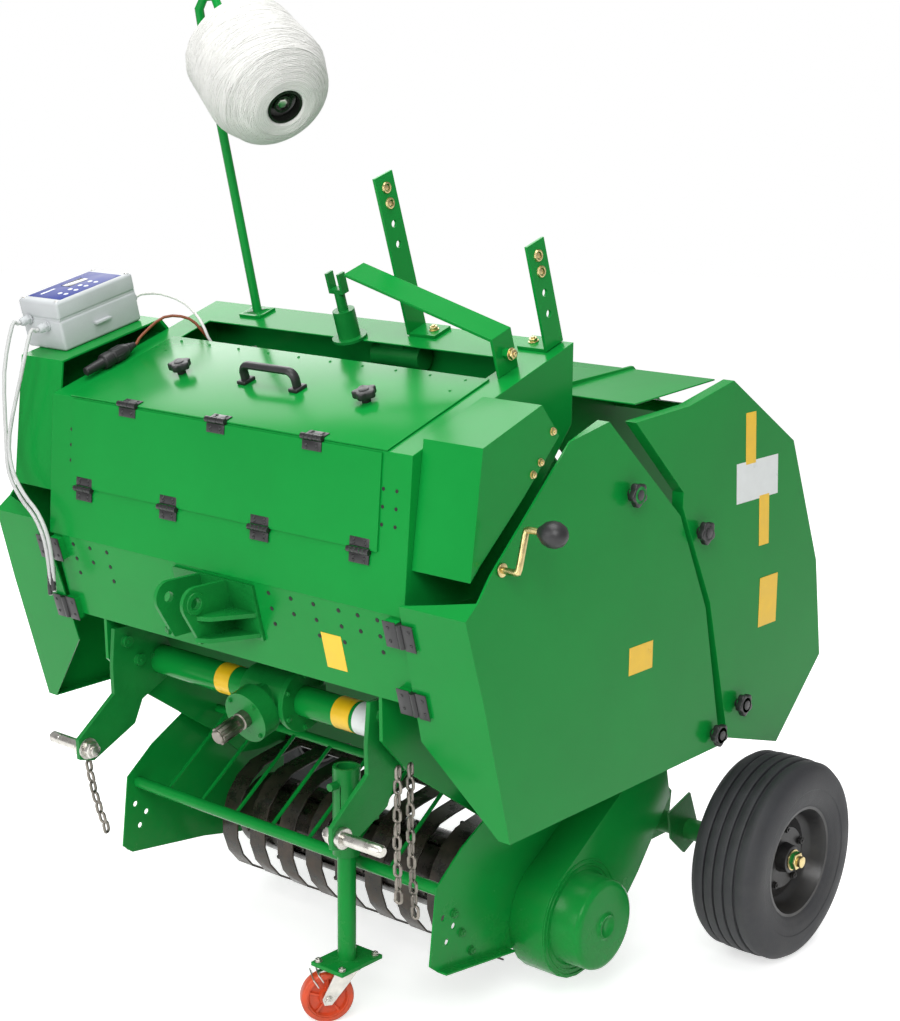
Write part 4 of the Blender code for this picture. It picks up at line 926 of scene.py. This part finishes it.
# ---------- caster ----------
def makeCaster():
    axis = Vector((0.8, -0.6, 0))
    center = at(0.218 - 0.6 * 0.038, -0.406 - 0.8 * 0.038, 0.050)
    place = turnTo(center, axis, (0, 0, 1))
    tread = lathe(
        ((-0.0140, 0.0400), (-0.0140, 0.0455), (-0.0120, 0.0485), (-0.0080, 0.0499), (0.0080, 0.0499),
         (0.0120, 0.0485), (0.0140, 0.0455), (0.0140, 0.0400)), 64,
    )
    finish(tread, "caster_tread", "orangeWheel", "caster_roll", replaces=("caster_wheel",), place=place)
    hub = lathe(
        ((-0.0125, 0.0398), (-0.0125, 0.0370), (-0.0050, 0.0340), (-0.0050, 0.0180), (-0.0140, 0.0150),
         (-0.0140, 0.0062), (0.0140, 0.0062), (0.0140, 0.0150), (0.0050, 0.0180), (0.0050, 0.0340),
         (0.0125, 0.0370), (0.0125, 0.0398)), 64,
    )
    for i in range(5):
        spoke = block((0.016, -0.0022, -0.0105), (0.036, 0.0022, 0.0105), 0.0008, 2)
        addPart(hub, spoke, Matrix.Rotation(fullTurn * i / 5, 4, "Z"))
    finish(hub, "caster_hub", "orangeWheel", "caster_roll", place=place)
    trim = bmesh.new()
    for side in (-1, 1):
        addPart(trim, bolt(0.0075), turnTo(center + axis * side * 0.0231, axis * side))
    for x in (-0.030, 0.030):
        for y in (-0.045, 0.045):
            addPart(trim, bolt(0.0065), Matrix.Translation(at(0.218 + x, -0.406 + y, 0.1211)))
    finish(trim, "caster_bolts", "zinc", "stand")
    pedal = bmesh.new()
    across = Vector((-0.6, -0.8, 0))
    for reach, height, wide in ((0.052, 0.093, 0.020), (0.062, 0.086, 0.026)):
        spot = turnTo(at(0.218, -0.406, height) + across * reach, across + Vector((0, 0, -0.6)), axis)
        addPart(pedal, block((-wide, -0.010, -0.0012), (wide, 0.010, 0.0012), 0.0008, 2), spot)
    addPart(pedal, block((-0.006, -0.006, -0.026), (0.006, 0.006, 0.0), 0.001, 2),
            turnTo(at(0.218, -0.406, 0.094) + across * 0.054, across + Vector((0, 0, -0.3)), axis))
    finish(pedal, "caster_brake", "zinc", "caster")


makeCaster()


# ---------- splined stub, hitch pins, chains ----------
def makeShaft():
    place = turnTo(gearboxCenter, shaftAxis, (1, 0, 0))
    shaft = bmesh.new()
    ring = bmesh.new()
    bmesh.ops.create_circle(ring, cap_ends=True, segments=72, radius=0.0172)
    for v in ring.verts:
        angle = math.atan2(v.co.y, v.co.x)
        if math.cos(6 * angle) < 0:
            v.co *= 0.0142 / 0.0172
    made = bmesh.ops.extrude_face_region(ring, geom=ring.faces[:])
    top = [item for item in made["geom"] if isinstance(item, bmesh.types.BMVert)]
    bmesh.ops.translate(ring, vec=(0, 0, 0.046), verts=top)
    softenEdges(ring, 0.0005, 2, 40)
    addPart(shaft, ring, Matrix.Translation((0, 0, 0.120)))
    addPart(shaft, lathe(((0.0943, 0.0), (0.0943, 0.0172), (0.1085, 0.0172), (0.1105, 0.0146), (0.1165, 0.0146),
                          (0.1185, 0.0172), (0.1215, 0.0172), (0.1215, 0.0)), 48, False))
    addPart(
        shaft,
        lathe(((0.1600, 0.0), (0.1600, 0.0138), (0.1680, 0.0138), (0.1700, 0.0118), (0.1700, 0.0)), 48, False)
    )
    finish(shaft, "pto_shaft_skin", "wornSteel", "pto", weld=0.000001, replaces=("pto_shaft",), place=place)


def makeHitchPins():
    for side, label in ((-1, "left"), (1, "right")):
        seat = at(0, -0.555, 0.441)
        place = turnTo(seat, (side, 0, 0), (0, 0, 1))
        pin = lathe(
            ((0.3453, 0.0), (0.3453, 0.0188), (0.3470, 0.0195), (0.3540, 0.0195), (0.3555, 0.0180),
            (0.3556, 0.0112),
             (0.4100, 0.0112), (0.4112, 0.0098), (0.4150, 0.0098), (0.4162, 0.0112), (0.4400, 0.0112),
             (0.4450, 0.0078), (0.4450, 0.0)), 48, False,
        )
        finish(
            pin, "hitch_pin_" + label + "_skin", "zinc", "frame", replaces=("hitch_pin_" + label,),
            place=place
        )
        nut = bmesh.new()
        addPart(nut, disc(0.0215, 0.3325, 0.3350, 0.0005, 28))
        addPart(nut, disc(0.0172, 0.3165, 0.3325, 0.0014, 6))
        addPart(nut, disc(0.0105, 0.3095, 0.3170, 0.0012, 20))
        finish(nut, "hitch_pin_nut_" + label, "zinc", "frame", place=place)


chainSizes = {"link": 0.030, "width": 0.0185, "wire": 0.0031}


def chainLink():
    half = chainSizes["link"] / 2 - chainSizes["width"] / 2
    radius = chainSizes["width"] / 2 - chainSizes["wire"]
    points = []
    for end in (1, -1):
        for step in range(7):
            turn = math.radians(180 * step / 6)
            points.append(Vector((end * radius * math.cos(turn), 0, end * (half + radius * math.sin(turn)))))
    return tube(points, chainSizes["wire"], 8, True)


def makeChains():
    chains = {
        "chain_right_front": ((0.409, -0.478, 0.566), (0.411, -0.477, 0.312), 0.004),
        "chain_right_rear": ((0.409, -0.446, 0.562), (0.411, -0.432, 0.268), 0.006),
        "chain_left": ((-0.409, -0.500, 0.430), (-0.411, -0.450, 0.215), 0.010),
    }
    for name, (top, bottom, belly) in chains.items():
        top, bottom = at(*top), at(*bottom)
        step = chainSizes["link"] - 2 * chainSizes["wire"] - 0.0004
        count = int((top - bottom).length / step)
        down = (bottom - top).normalized()
        mesh = bmesh.new()
        for i in range(count):
            share = (i + 0.5) / count
            sway = Vector((0, -belly * math.sin(math.pi * share), 0))
            spot = top.lerp(bottom, share) + sway
            across = Vector((1, 0.2, 0)) if i % 2 else Vector((0.2, -1, 0))
            place = turnTo(spot, down, across)
            addPart(mesh, chainLink(), place)
        finish(mesh, name, "wornSteel", "frame", weld=0.000001, smoothDeg=60)


makeShaft()
makeHitchPins()
makeChains()
print("hitch made")


# ---------- drive guard with its pressed cap ----------
def makeDriveGuard():
    mesh = bmesh.new()
    mesh.from_mesh(nodes["pickup_drive_guard"].data)
    bmesh.ops.remove_doubles(mesh, verts=mesh.verts, dist=weldGap)
    bmesh.ops.bisect_plane(
        mesh, geom=mesh.verts[:] + mesh.edges[:] + mesh.faces[:], plane_co=(0.5005, 0, 0), plane_no=(1, 0, 0),
        clear_outer=True,
    )
    rims = [e for e in mesh.edges if e.is_boundary]
    bmesh.ops.holes_fill(mesh, edges=rims, sides=0)
    bmesh.ops.dissolve_limit(mesh, angle_limit=math.radians(flatDeg), verts=mesh.verts, edges=mesh.edges)
    softenEdges(mesh, 0.0030, 3)
    center = turnTo(at(0, -0.060, 0.170), (1, 0, 0), (0, 0, 1))
    cap = lathe(
        ((0.498, 0.0), (0.498, 0.0930), (0.5020, 0.0930), (0.5050, 0.0885), (0.5500, 0.0875),
        (0.5560, 0.0850),
         (0.5595, 0.0790), (0.5600, 0.0740), (0.5600, 0.0300), (0.5600, 0.0260), (0.5625, 0.0235),
         (0.5655, 0.0225),
         (0.5655, 0.0195), (0.5610, 0.0175), (0.5605, 0.0)), 96, False,
    )
    bmesh.ops.transform(cap, matrix=center, verts=cap.verts)
    addPart(mesh, cap)
    for radius, start in ((0.1120, 0.4995), (0.1020, 0.4995)):
        lip = lathe(((start, radius - 0.0025), (start + 0.0022, radius - 0.0015), (start + 0.0022, radius + 0.0015),
                     (start, radius + 0.0025)), 96)
        bmesh.ops.transform(lip, matrix=center, verts=lip.verts)
        addPart(mesh, lip)
    finish(mesh, "pickup_drive_guard_skin", "greenPaint", "frame", replaces=("pickup_drive_guard",))


makeDriveGuard()


# ---------- crank ----------
def makeCrank():
    y, z = -0.452, 0.945
    x = coverX(y, z)
    route = [at(x + 0.0009, y, z), at(0.634, y, z), at(0.6410, y, z + 0.001), at(0.6440, y + 0.002, z + 0.007)]
    route += [at(0.6440, y + 0.017, z + 0.062), at(0.6455, y + 0.0188, z + 0.0678), at(0.651, y + 0.019, z + 0.070)]
    route += [at(0.680, y + 0.019, z + 0.070)]
    bar = tube(smoothRoute(route, 3), 0.0058, 20)
    addPart(bar, disc(0.012, 0.0004, 0.0040, 0.0006, 24), turnTo(at(x + 0.0004, y, z), (1, 0, 0)))
    finish(bar, "crank_bar", "yellowZinc", "door_right", replaces=("crank_handle",))
    grip = lathe(
        ((0.0, 0.0), (0.0, 0.0095), (0.004, 0.0120), (0.014, 0.0195), (0.024, 0.0225), (0.034, 0.0220),
        (0.044, 0.0178),
         (0.050, 0.0110), (0.0530, 0.0040), (0.0532, 0.0)), 40, False,
    )
    finish(
        grip, "crank_grip", "blackPlastic", "door_right", smoothDeg=60,
        place=turnTo(at(0.672, y + 0.019, z + 0.070), (1, 0, 0))
    )


makeCrank()
print("guard and crank made")

# ---------- control box, glands, cable tape ----
boxSizes = {"halfX": 0.060, "halfY": 0.100, "height": 0.100, "seam": 0.062}


def makeControlBox():
    hx, hy, high, seam = boxSizes["halfX"], boxSizes["halfY"], boxSizes["height"], boxSizes["seam"]
    case = bmesh.new()
    addPart(case, block((-hx, -hy, 0.0003), (hx, hy, seam), 0.006, 4))
    addPart(
        case,
        block((-hx + 0.0018, -hy + 0.0018, seam - 0.004), (hx - 0.0018, hy - 0.0018, seam + 0.004), 0.0005, 1)
    )
    addPart(case, block((-hx, -hy, seam + 0.0018), (hx, hy, high), 0.006, 4))
    for x in (-hx + 0.009, hx - 0.009):
        for y in (-hy + 0.009, hy - 0.009):
            addPart(
                case, disc(0.0062, high - 0.004, high + 0.0002, 0.0006, 20), Matrix.Translation((x, y, 0))
            )
    ear = block((hx - 0.002, -0.020, 0.030), (hx + 0.0098, 0.020, 0.036), 0.0015, 2)
    addPart(case, ear)
    finish(case, "control_box_skin", "greyPlastic", "frame", boxFrame, replaces=("control_box",))
    screws = bmesh.new()
    for x in (-hx + 0.009, hx - 0.009):
        for y in (-hy + 0.009, hy - 0.009):
            addPart(screws, roundScrew(0.0036), Matrix.Translation((x, y, high)))
    finish(screws, "control_box_screws", "zinc", "frame", boxFrame)
    film = block((-hx + 0.010, -hy + 0.020, high - 0.001), (hx - 0.010, hy - 0.020, high + 0.0007), 0.0005, 2)
    finish(film, "control_box_panel", "blueFilm", "frame", boxFrame)
    screen = block((-0.030, -0.012, high), (-0.004, 0.040, high + 0.0013), 0.0004, 2)
    finish(screen, "control_box_screen", "screenGlass", "frame", boxFrame)
    keys = bmesh.new()
    for row in range(2):
        for column in range(4):
            x = 0.014 + 0.018 * row
            y = -0.050 + 0.026 * column
            addPart(keys, disc(0.0050, high, high + 0.0016, 0.0005, 20), Matrix.Translation((x, y, 0)))
    addPart(keys, block((-0.030, -0.066, high), (-0.024, -0.030, high + 0.0011), 0.0003, 1))
    finish(keys, "control_box_keys", "paleKeys", "frame", boxFrame)
    glands = bmesh.new()
    for _, x, z in cables["glands"]:
        addPart(glands, glandShape(cables["radius"]), turnTo((x, -hy, z), (0, -1, 0)))
    addPart(glands, glandShape(cables["wire"], 0.0195), turnTo((0.030, hy, 0.040), (0, 1, 0)))
    finish(glands, "control_box_glands", "greyPlastic", "frame", boxFrame)


def glandShape(hole, length=0.0238):
    part = disc(0.0105, 0, 0.004, 0.0008, 24)
    addPart(part, disc(0.0105, 0.0042, 0.0125, 0.0010, 6))
    addPart(part, lathe(((0.012, 0.0), (0.012, 0.0092), (length * 0.78, 0.0088), (length * 0.94, 0.0070),
                         (length, hole + 0.0012), (length, 0.0)), 28, False))
    return part


makeControlBox()


def makeTape():  # black tape round the ends of the two hanging cables
    tape = bmesh.new()
    for x, drop in ((-0.430, 0.000), (-0.441, 0.010)):
        for low, high, radius in ((0.7425, 0.790, 0.0048), (0.752, 0.762, 0.0051), (0.772, 0.781, 0.0051)):
            addPart(
                tape, disc(radius, low - drop, high - drop, 0.0004, 20), Matrix.Translation(at(x, -0.5500, 0))
            )
    finish(tape, "cable_tape", "blackPlastic", "frame")


makeTape()
print("control box and plug made")

# ---------- twine spool ----------
spoolSizes = {"half": 0.110, "thread": 0.0011}


def spoolRadius(distance):
    knots = (
        (-0.110, 0.0935), (-0.090, 0.1115), (0.030, 0.1195), (0.075, 0.1035), (0.100, 0.075), (0.110, 0.058)
    )
    for (a, low), (b, high) in zip(knots, knots[1:]):
        if distance <= b:
            return low + (high - low) * max(distance - a, 0) / (b - a)
    return knots[-1][1]


def makeSpool():
    center = at(-0.132, -0.263, 1.728)
    axis = Vector((0.816, -0.214, -0.535)).normalized()
    place = turnTo(center, axis)
    half = spoolSizes["half"]
    outer = []
    for i in range(34):
        distance = -half + 2 * half * i / 33
        outer.append((distance, spoolRadius(distance) - 0.0012))
    yarn = lathe([(-half, 0.034), *outer, (half, 0.038), (half - 0.004, 0.0345), (-half + 0.002, 0.0335)], 96)
    finish(yarn, "twine_spool_skin", "twine", "frame", smoothDeg=60, replaces=("twine_spool",), place=place)
    threads = bmesh.new()
    for i in range(46):  # crossing windings, each a few turns of a steep helix
        sign = 1 if i % 2 else -1
        start = fullTurn * random.random()
        turns = 2.6 + 0.5 * random.random()
        points = []
        steps = 120
        for step in range(steps + 1):
            share = step / steps
            distance = -half + 0.004 + (2 * half - 0.008) * share
            angle = start + sign * fullTurn * turns * share
            reach = spoolRadius(distance) - 0.0011 + 0.0005 * math.sin(5 * angle + i)
            points.append(Vector((reach * math.cos(angle), reach * math.sin(angle), distance)))
        addPart(threads, tube(points, spoolSizes["thread"], 4))
    for i in range(30):  # coils laid round the front shoulder
        radius = 0.0400 + 0.0022 * i
        distance = half + 0.0002 if radius < 0.058 else None
        if distance is None:
            distance = 0.110 - (radius - 0.058) * 0.60 if radius < 0.0750 else 0.100 - (radius - 0.075) * 0.877
        points = []
        for step in range(60):
            angle = fullTurn * step / 60
            wobble = 0.0007 * math.sin(3 * angle + i * 1.7)
            points.append(
                Vector(((radius + wobble) * math.cos(angle), (radius + wobble) * math.sin(angle), distance - 0.0004))
            )
        addPart(threads, tube(points, 0.0009, 4, True))
    finish(threads, "twine_windings", "twine", "frame", smoothDeg=80, weld=0.000001, place=place)
    core = lathe(
        ((-half + 0.001, 0.0125), (-half + 0.001, 0.0330), (half - 0.006, 0.0335), (half - 0.002, 0.0340),
         (half - 0.002, 0.0300), (half - 0.020, 0.0290), (half - 0.024, 0.0240), (half - 0.026, 0.0125)), 64,
    )
    ring = lathe(
        ((half - 0.026, 0.0130), (half - 0.012, 0.0135), (half - 0.012, 0.0175), (half - 0.026, 0.0180)), 48
    )
    addPart(core, ring)
    finish(core, "twine_spool_core", "darkSteel", "frame", place=place)
    tip = bmesh.new()
    addPart(tip, disc(0.0100, 0.0900, 0.0960, 0.0008, 6))
    addPart(tip, disc(0.0150, 0.0885, 0.0900, 0.0004, 24))
    finish(tip, "spool_end_nut", "zinc", "frame", place=place)


makeSpool()
print("spool wound")


# ---------- bolts, rivets and holes ----------
def makeBolts():
    green, plated, holes, lidHoles = bmesh.new(), bmesh.new(), bmesh.new(), bmesh.new()
    for i in range(6):  # gearbox side flange
        angle = fullTurn * (i + 0.5) / 6
        spot = gearboxCenter + Vector((0.0672, 0.051 * math.cos(angle), 0.051 * math.sin(angle)))
        addPart(green, bolt(0.0055), turnTo(spot, (1, 0, 0)))
    turn = turnTo(gearboxCenter, shaftAxis, (1, 0, 0))
    for i in range(4):  # bearing cap of the stub
        angle = fullTurn * (i + 0.5) / 4
        spot = turn @ Vector((0.044 * math.cos(angle), 0.044 * math.sin(angle), 0.0942))
        addPart(green, bolt(0.0045), turnTo(spot, shaftAxis))
    for side in (-1, 1):  # drive tube clamps at the arms, arm bolts
        for y, z in ((-0.452, 0.637), (-0.421, 0.593), (-0.380, 0.590)):
            addPart(green, bolt(0.0090), turnTo(at(side * 0.3352, y, z), (-side, 0, 0)))
    for x, foot, height in ((0.115, 0.180, 0.310), (0.440, 0.375, 0.200)):  # uprights: eyelets and foot bolts
        middle = (upSlope(-0.124) + upSlope(-0.0765)) / 2
        for drop in (0.025, 0.055):
            spot = deck @ Vector((x + 0.0032, middle, height - drop))
            eyelet = lathe(
                ((0.0, 0.0072), (0.0, 0.0112), (0.0032, 0.0100), (0.0036, 0.0078), (0.0030, 0.0068)), 28
            )
            addPart(plated, eyelet, turnTo(spot, (1, 0, 0)))
            addPart(plated, disc(0.0050, -0.004, 0.0016, 0.0006, 20), turnTo(spot, (1, 0, 0)))
        seat = deck @ Vector(((x + foot) / 2 + (0.012 if foot > x else -0.012), middle, 0.0061))
        addPart(plated, bolt(0.0085), turnTo(seat, deckUp))
    for x in (-0.0392, 0.0392):  # eyes of the top link lugs
        eye = lathe(((0.0, 0.0112), (0.0, 0.0210), (0.0022, 0.0200), (0.0026, 0.0125), (0.0016, 0.0112)), 36)
        addPart(green, eye, turnTo(at(x, -0.604, 0.813), (x, 0, 0)))
    strapSeat = deck @ Vector((0.4352, upSlope(-0.206), 0.036))
    addPart(plated, bolt(0.0100), turnTo(strapSeat, (1, 0, 0)))
    for y, z in ((-0.352, 1.086), (-0.332, 1.104), (-0.300, 1.152)):  # right box, outer wall
        addPart(plated, bolt(0.0062), turnTo(at(0.5921, y, z), (1, 0, 0)))
    for row, z in enumerate((0.775, 0.805, 0.835)):  # punched holes, either side of the top link
        for column in range(3):
            for x in (-0.400 + 0.050 * column, 0.140 + 0.055 * column, 0.310 + 0.045 * column):
                if row == 0 and column == 1:
                    continue
                spot = at(x, panelY(z) - 0.0003, z)
                addPart(holes, disc(0.0042, -0.0004, 0.0004, 0.0, 12), turnTo(spot, panelOut))
    for x in (-0.405, -0.375, 0.405, 0.435):
        for z in (1.000, 1.030, 1.060):
            y = -0.528 + (z - 0.850) * 0.020 / 0.2727
            addPart(holes, disc(0.0034, -0.0004, 0.0005, 0.0, 12), turnTo(at(x, y, z), (0, -1, 0.073)))
    for x in [-0.37 + 0.082 * i for i in range(10)]:  # tack rivets along the lid's edges
        for y in (-0.258, -0.300):
            if y == -0.300 and 0 < abs(x) < 0.33:
                continue
            spot = deck @ Vector((x, upSlope(y), 0.0036))
            addPart(lidHoles, roundScrew(0.0028), turnTo(spot, deckUp))
    for y, z in ((-0.340, 0.250), (-0.318, 0.205), (-0.290, 0.160), (0.020, 0.145)):
        addPart(green, bolt(0.0075), turnTo(at(0.4221, y, z), (1, 0, 0)))
    for y, z in ((-0.050, 0.415), (0.130, 0.400)):
        addPart(holes, disc(0.0135, -0.0004, 0.0006, 0.0, 24), turnTo(at(0.5000, y, z), (1, 0, 0)))
    finish(green, "paint_bolts", "greenCast", "frame", weld=0.000001)
    finish(plated, "plated_bolts", "yellowZinc", "frame", weld=0.000001)
    finish(holes, "punched_holes", "shadowBlack", "frame", weld=0.000001)
    finish(lidHoles, "lid_rivets", "greenCast", "lid", weld=0.000001)


makeBolts()


# ---------- blank stickers and plates ----------
def makeStickers():
    def plate(center, out, across, wide, high, finishName, name, body):
        mesh = block((-wide / 2, -high / 2, 0.0001), (wide / 2, high / 2, 0.0007), 0.0003, 1)
        finish(mesh, name, finishName, body, place=turnTo(center, out, across))

    lean = Vector((1, 0, 0.04)).normalized()
    along = Vector((0, 1, 0))
    for index, (y, z, wide, high) in enumerate(((0.31, 1.06, 0.036, 0.100), (0.36, 0.893, 0.036, 0.100))):
        plate(
            at(coverX(y, z), y, z), lean, along, wide, high, "yellowSticker", f"guard_sticker_{index}",
            "tailgate"
        )
    plate(at(coverX(0.38, 0.728), 0.38, 0.728), Vector((1, 0, 0)), along, 0.066, 0.100, "yellowSticker",
          "guard_sticker_2", "tailgate")
    plate(
        at(coverX(0.33, 0.98), 0.335, 0.977), lean, along, 0.150, 0.078, "whiteSticker", "guard_plate",
        "tailgate"
    )
    plate(at(coverX(-0.055, 0.707), -0.055, 0.707), Vector((1, 0, 0)), along, 0.074, 0.052, "yellowSticker",
          "cover_sticker", "door_right")
    plate(
        at(0.2785, panelY(0.750), 0.750), panelOut, (1, 0, 0), 0.048, 0.070, "yellowSticker", "panel_sticker",
        "frame"
    )
    for x, wide, finishName, name in (
        (-0.130, 0.040, "yellowSticker", "tube_band_left"),
        (0.185, 0.044, "yellowSticker", "tube_band_right"),
        (0.268, 0.105, "whiteSticker", "tube_plate"),
    ):
        band = lathe(((-wide / 2, 0.0301), (-wide / 2, 0.0307), (wide / 2, 0.0307), (wide / 2, 0.0301)), 64)
        middle = turnTo(gearboxCenter + Vector((x, 0, 0)), (1, 0, 0), (0, 0, 1))
        finish(band, name, finishName, "frame", place=middle)


makeStickers()
print("trim made")


# ---------- floor, world and lamps ----------
stageLook = {"floor": (0.86, 0.86, 0.86, 1), "lift": 0.60, "world": 0.46}


def makeStage():
    mesh = bmesh.new()
    bmesh.ops.create_circle(mesh, cap_ends=True, segments=64, radius=14)
    data = bpy.data.meshes.new("floor")
    mesh.to_mesh(data)
    mesh.free()
    floor = bpy.data.objects.new("floor", data)
    bpy.context.collection.objects.link(floor)
    material = bpy.data.materials.new("paleFloor")
    material.use_nodes = True
    tree = material.node_tree
    tree.nodes.clear()
    diffuse = addNode(tree, "ShaderNodeBsdfDiffuse", {"Color": stageLook["floor"]})
    path = addNode(tree, "ShaderNodeLightPath").outputs
    seen = work(tree, "MAXIMUM", path["Is Camera Ray"], path["Is Glossy Ray"])
    seen = work(tree, "MAXIMUM", seen, path["Is Transmission Ray"])
    amount = work(tree, "MULTIPLY", seen, stageLook["lift"])
    lift = addNode(tree, "ShaderNodeEmission", {"Color": (1, 1, 1, 1), "Strength": amount})
    both = addNode(tree, "ShaderNodeAddShader", {0: diffuse.outputs[0], 1: lift.outputs[0]})
    addNode(tree, "ShaderNodeOutputMaterial", {"Surface": both.outputs[0]})
    data.materials.append(material)
    world = bpy.data.worlds.new("studio")
    bpy.context.scene.world = world
    world.use_nodes = True
    tree = world.node_tree
    tree.nodes.clear()
    path = addNode(tree, "ShaderNodeLightPath").outputs
    seen = work(tree, "MAXIMUM", path["Is Camera Ray"], path["Is Transmission Ray"])
    level = addNode(tree, "ShaderNodeMapRange", {"Value": seen, "To Min": stageLook["world"], "To Max": 1.0})
    sky = addNode(tree, "ShaderNodeBackground", {"Color": (1, 1, 1, 1), "Strength": level.outputs["Result"]})
    addNode(tree, "ShaderNodeOutputWorld", {"Surface": sky.outputs[0]})


lamps = (
    # name, place, aim, size, watts
    ("key", (2.6, -3.4, 3.4), (0, 0, 0.7), 2.4, 115),
    ("top", (0.2, -0.6, 4.2), (0, 0, 0.6), 2.6, 75),
    ("front", (-0.6, -4.2, 1.8), (0, 0, 0.7), 2.4, 45),
    ("back", (-2.7, 2.0, 3.3), (0, 0, 1.0), 3.0, 72),
)


def makeLamps():
    for name, place, aim, size, watts in lamps:
        data = bpy.data.lights.new(name, "AREA")
        data.shape = "DISK"
        data.size = size
        data.energy = watts
        lamp = bpy.data.objects.new(name, data)
        bpy.context.collection.objects.link(lamp)
        lamp.matrix_world = turnTo(place, Vector(place) - Vector(aim))


makeStage()
makeLamps()
bpy.context.scene.view_settings.view_transform = "Standard"

bpy.context.view_layer.update()
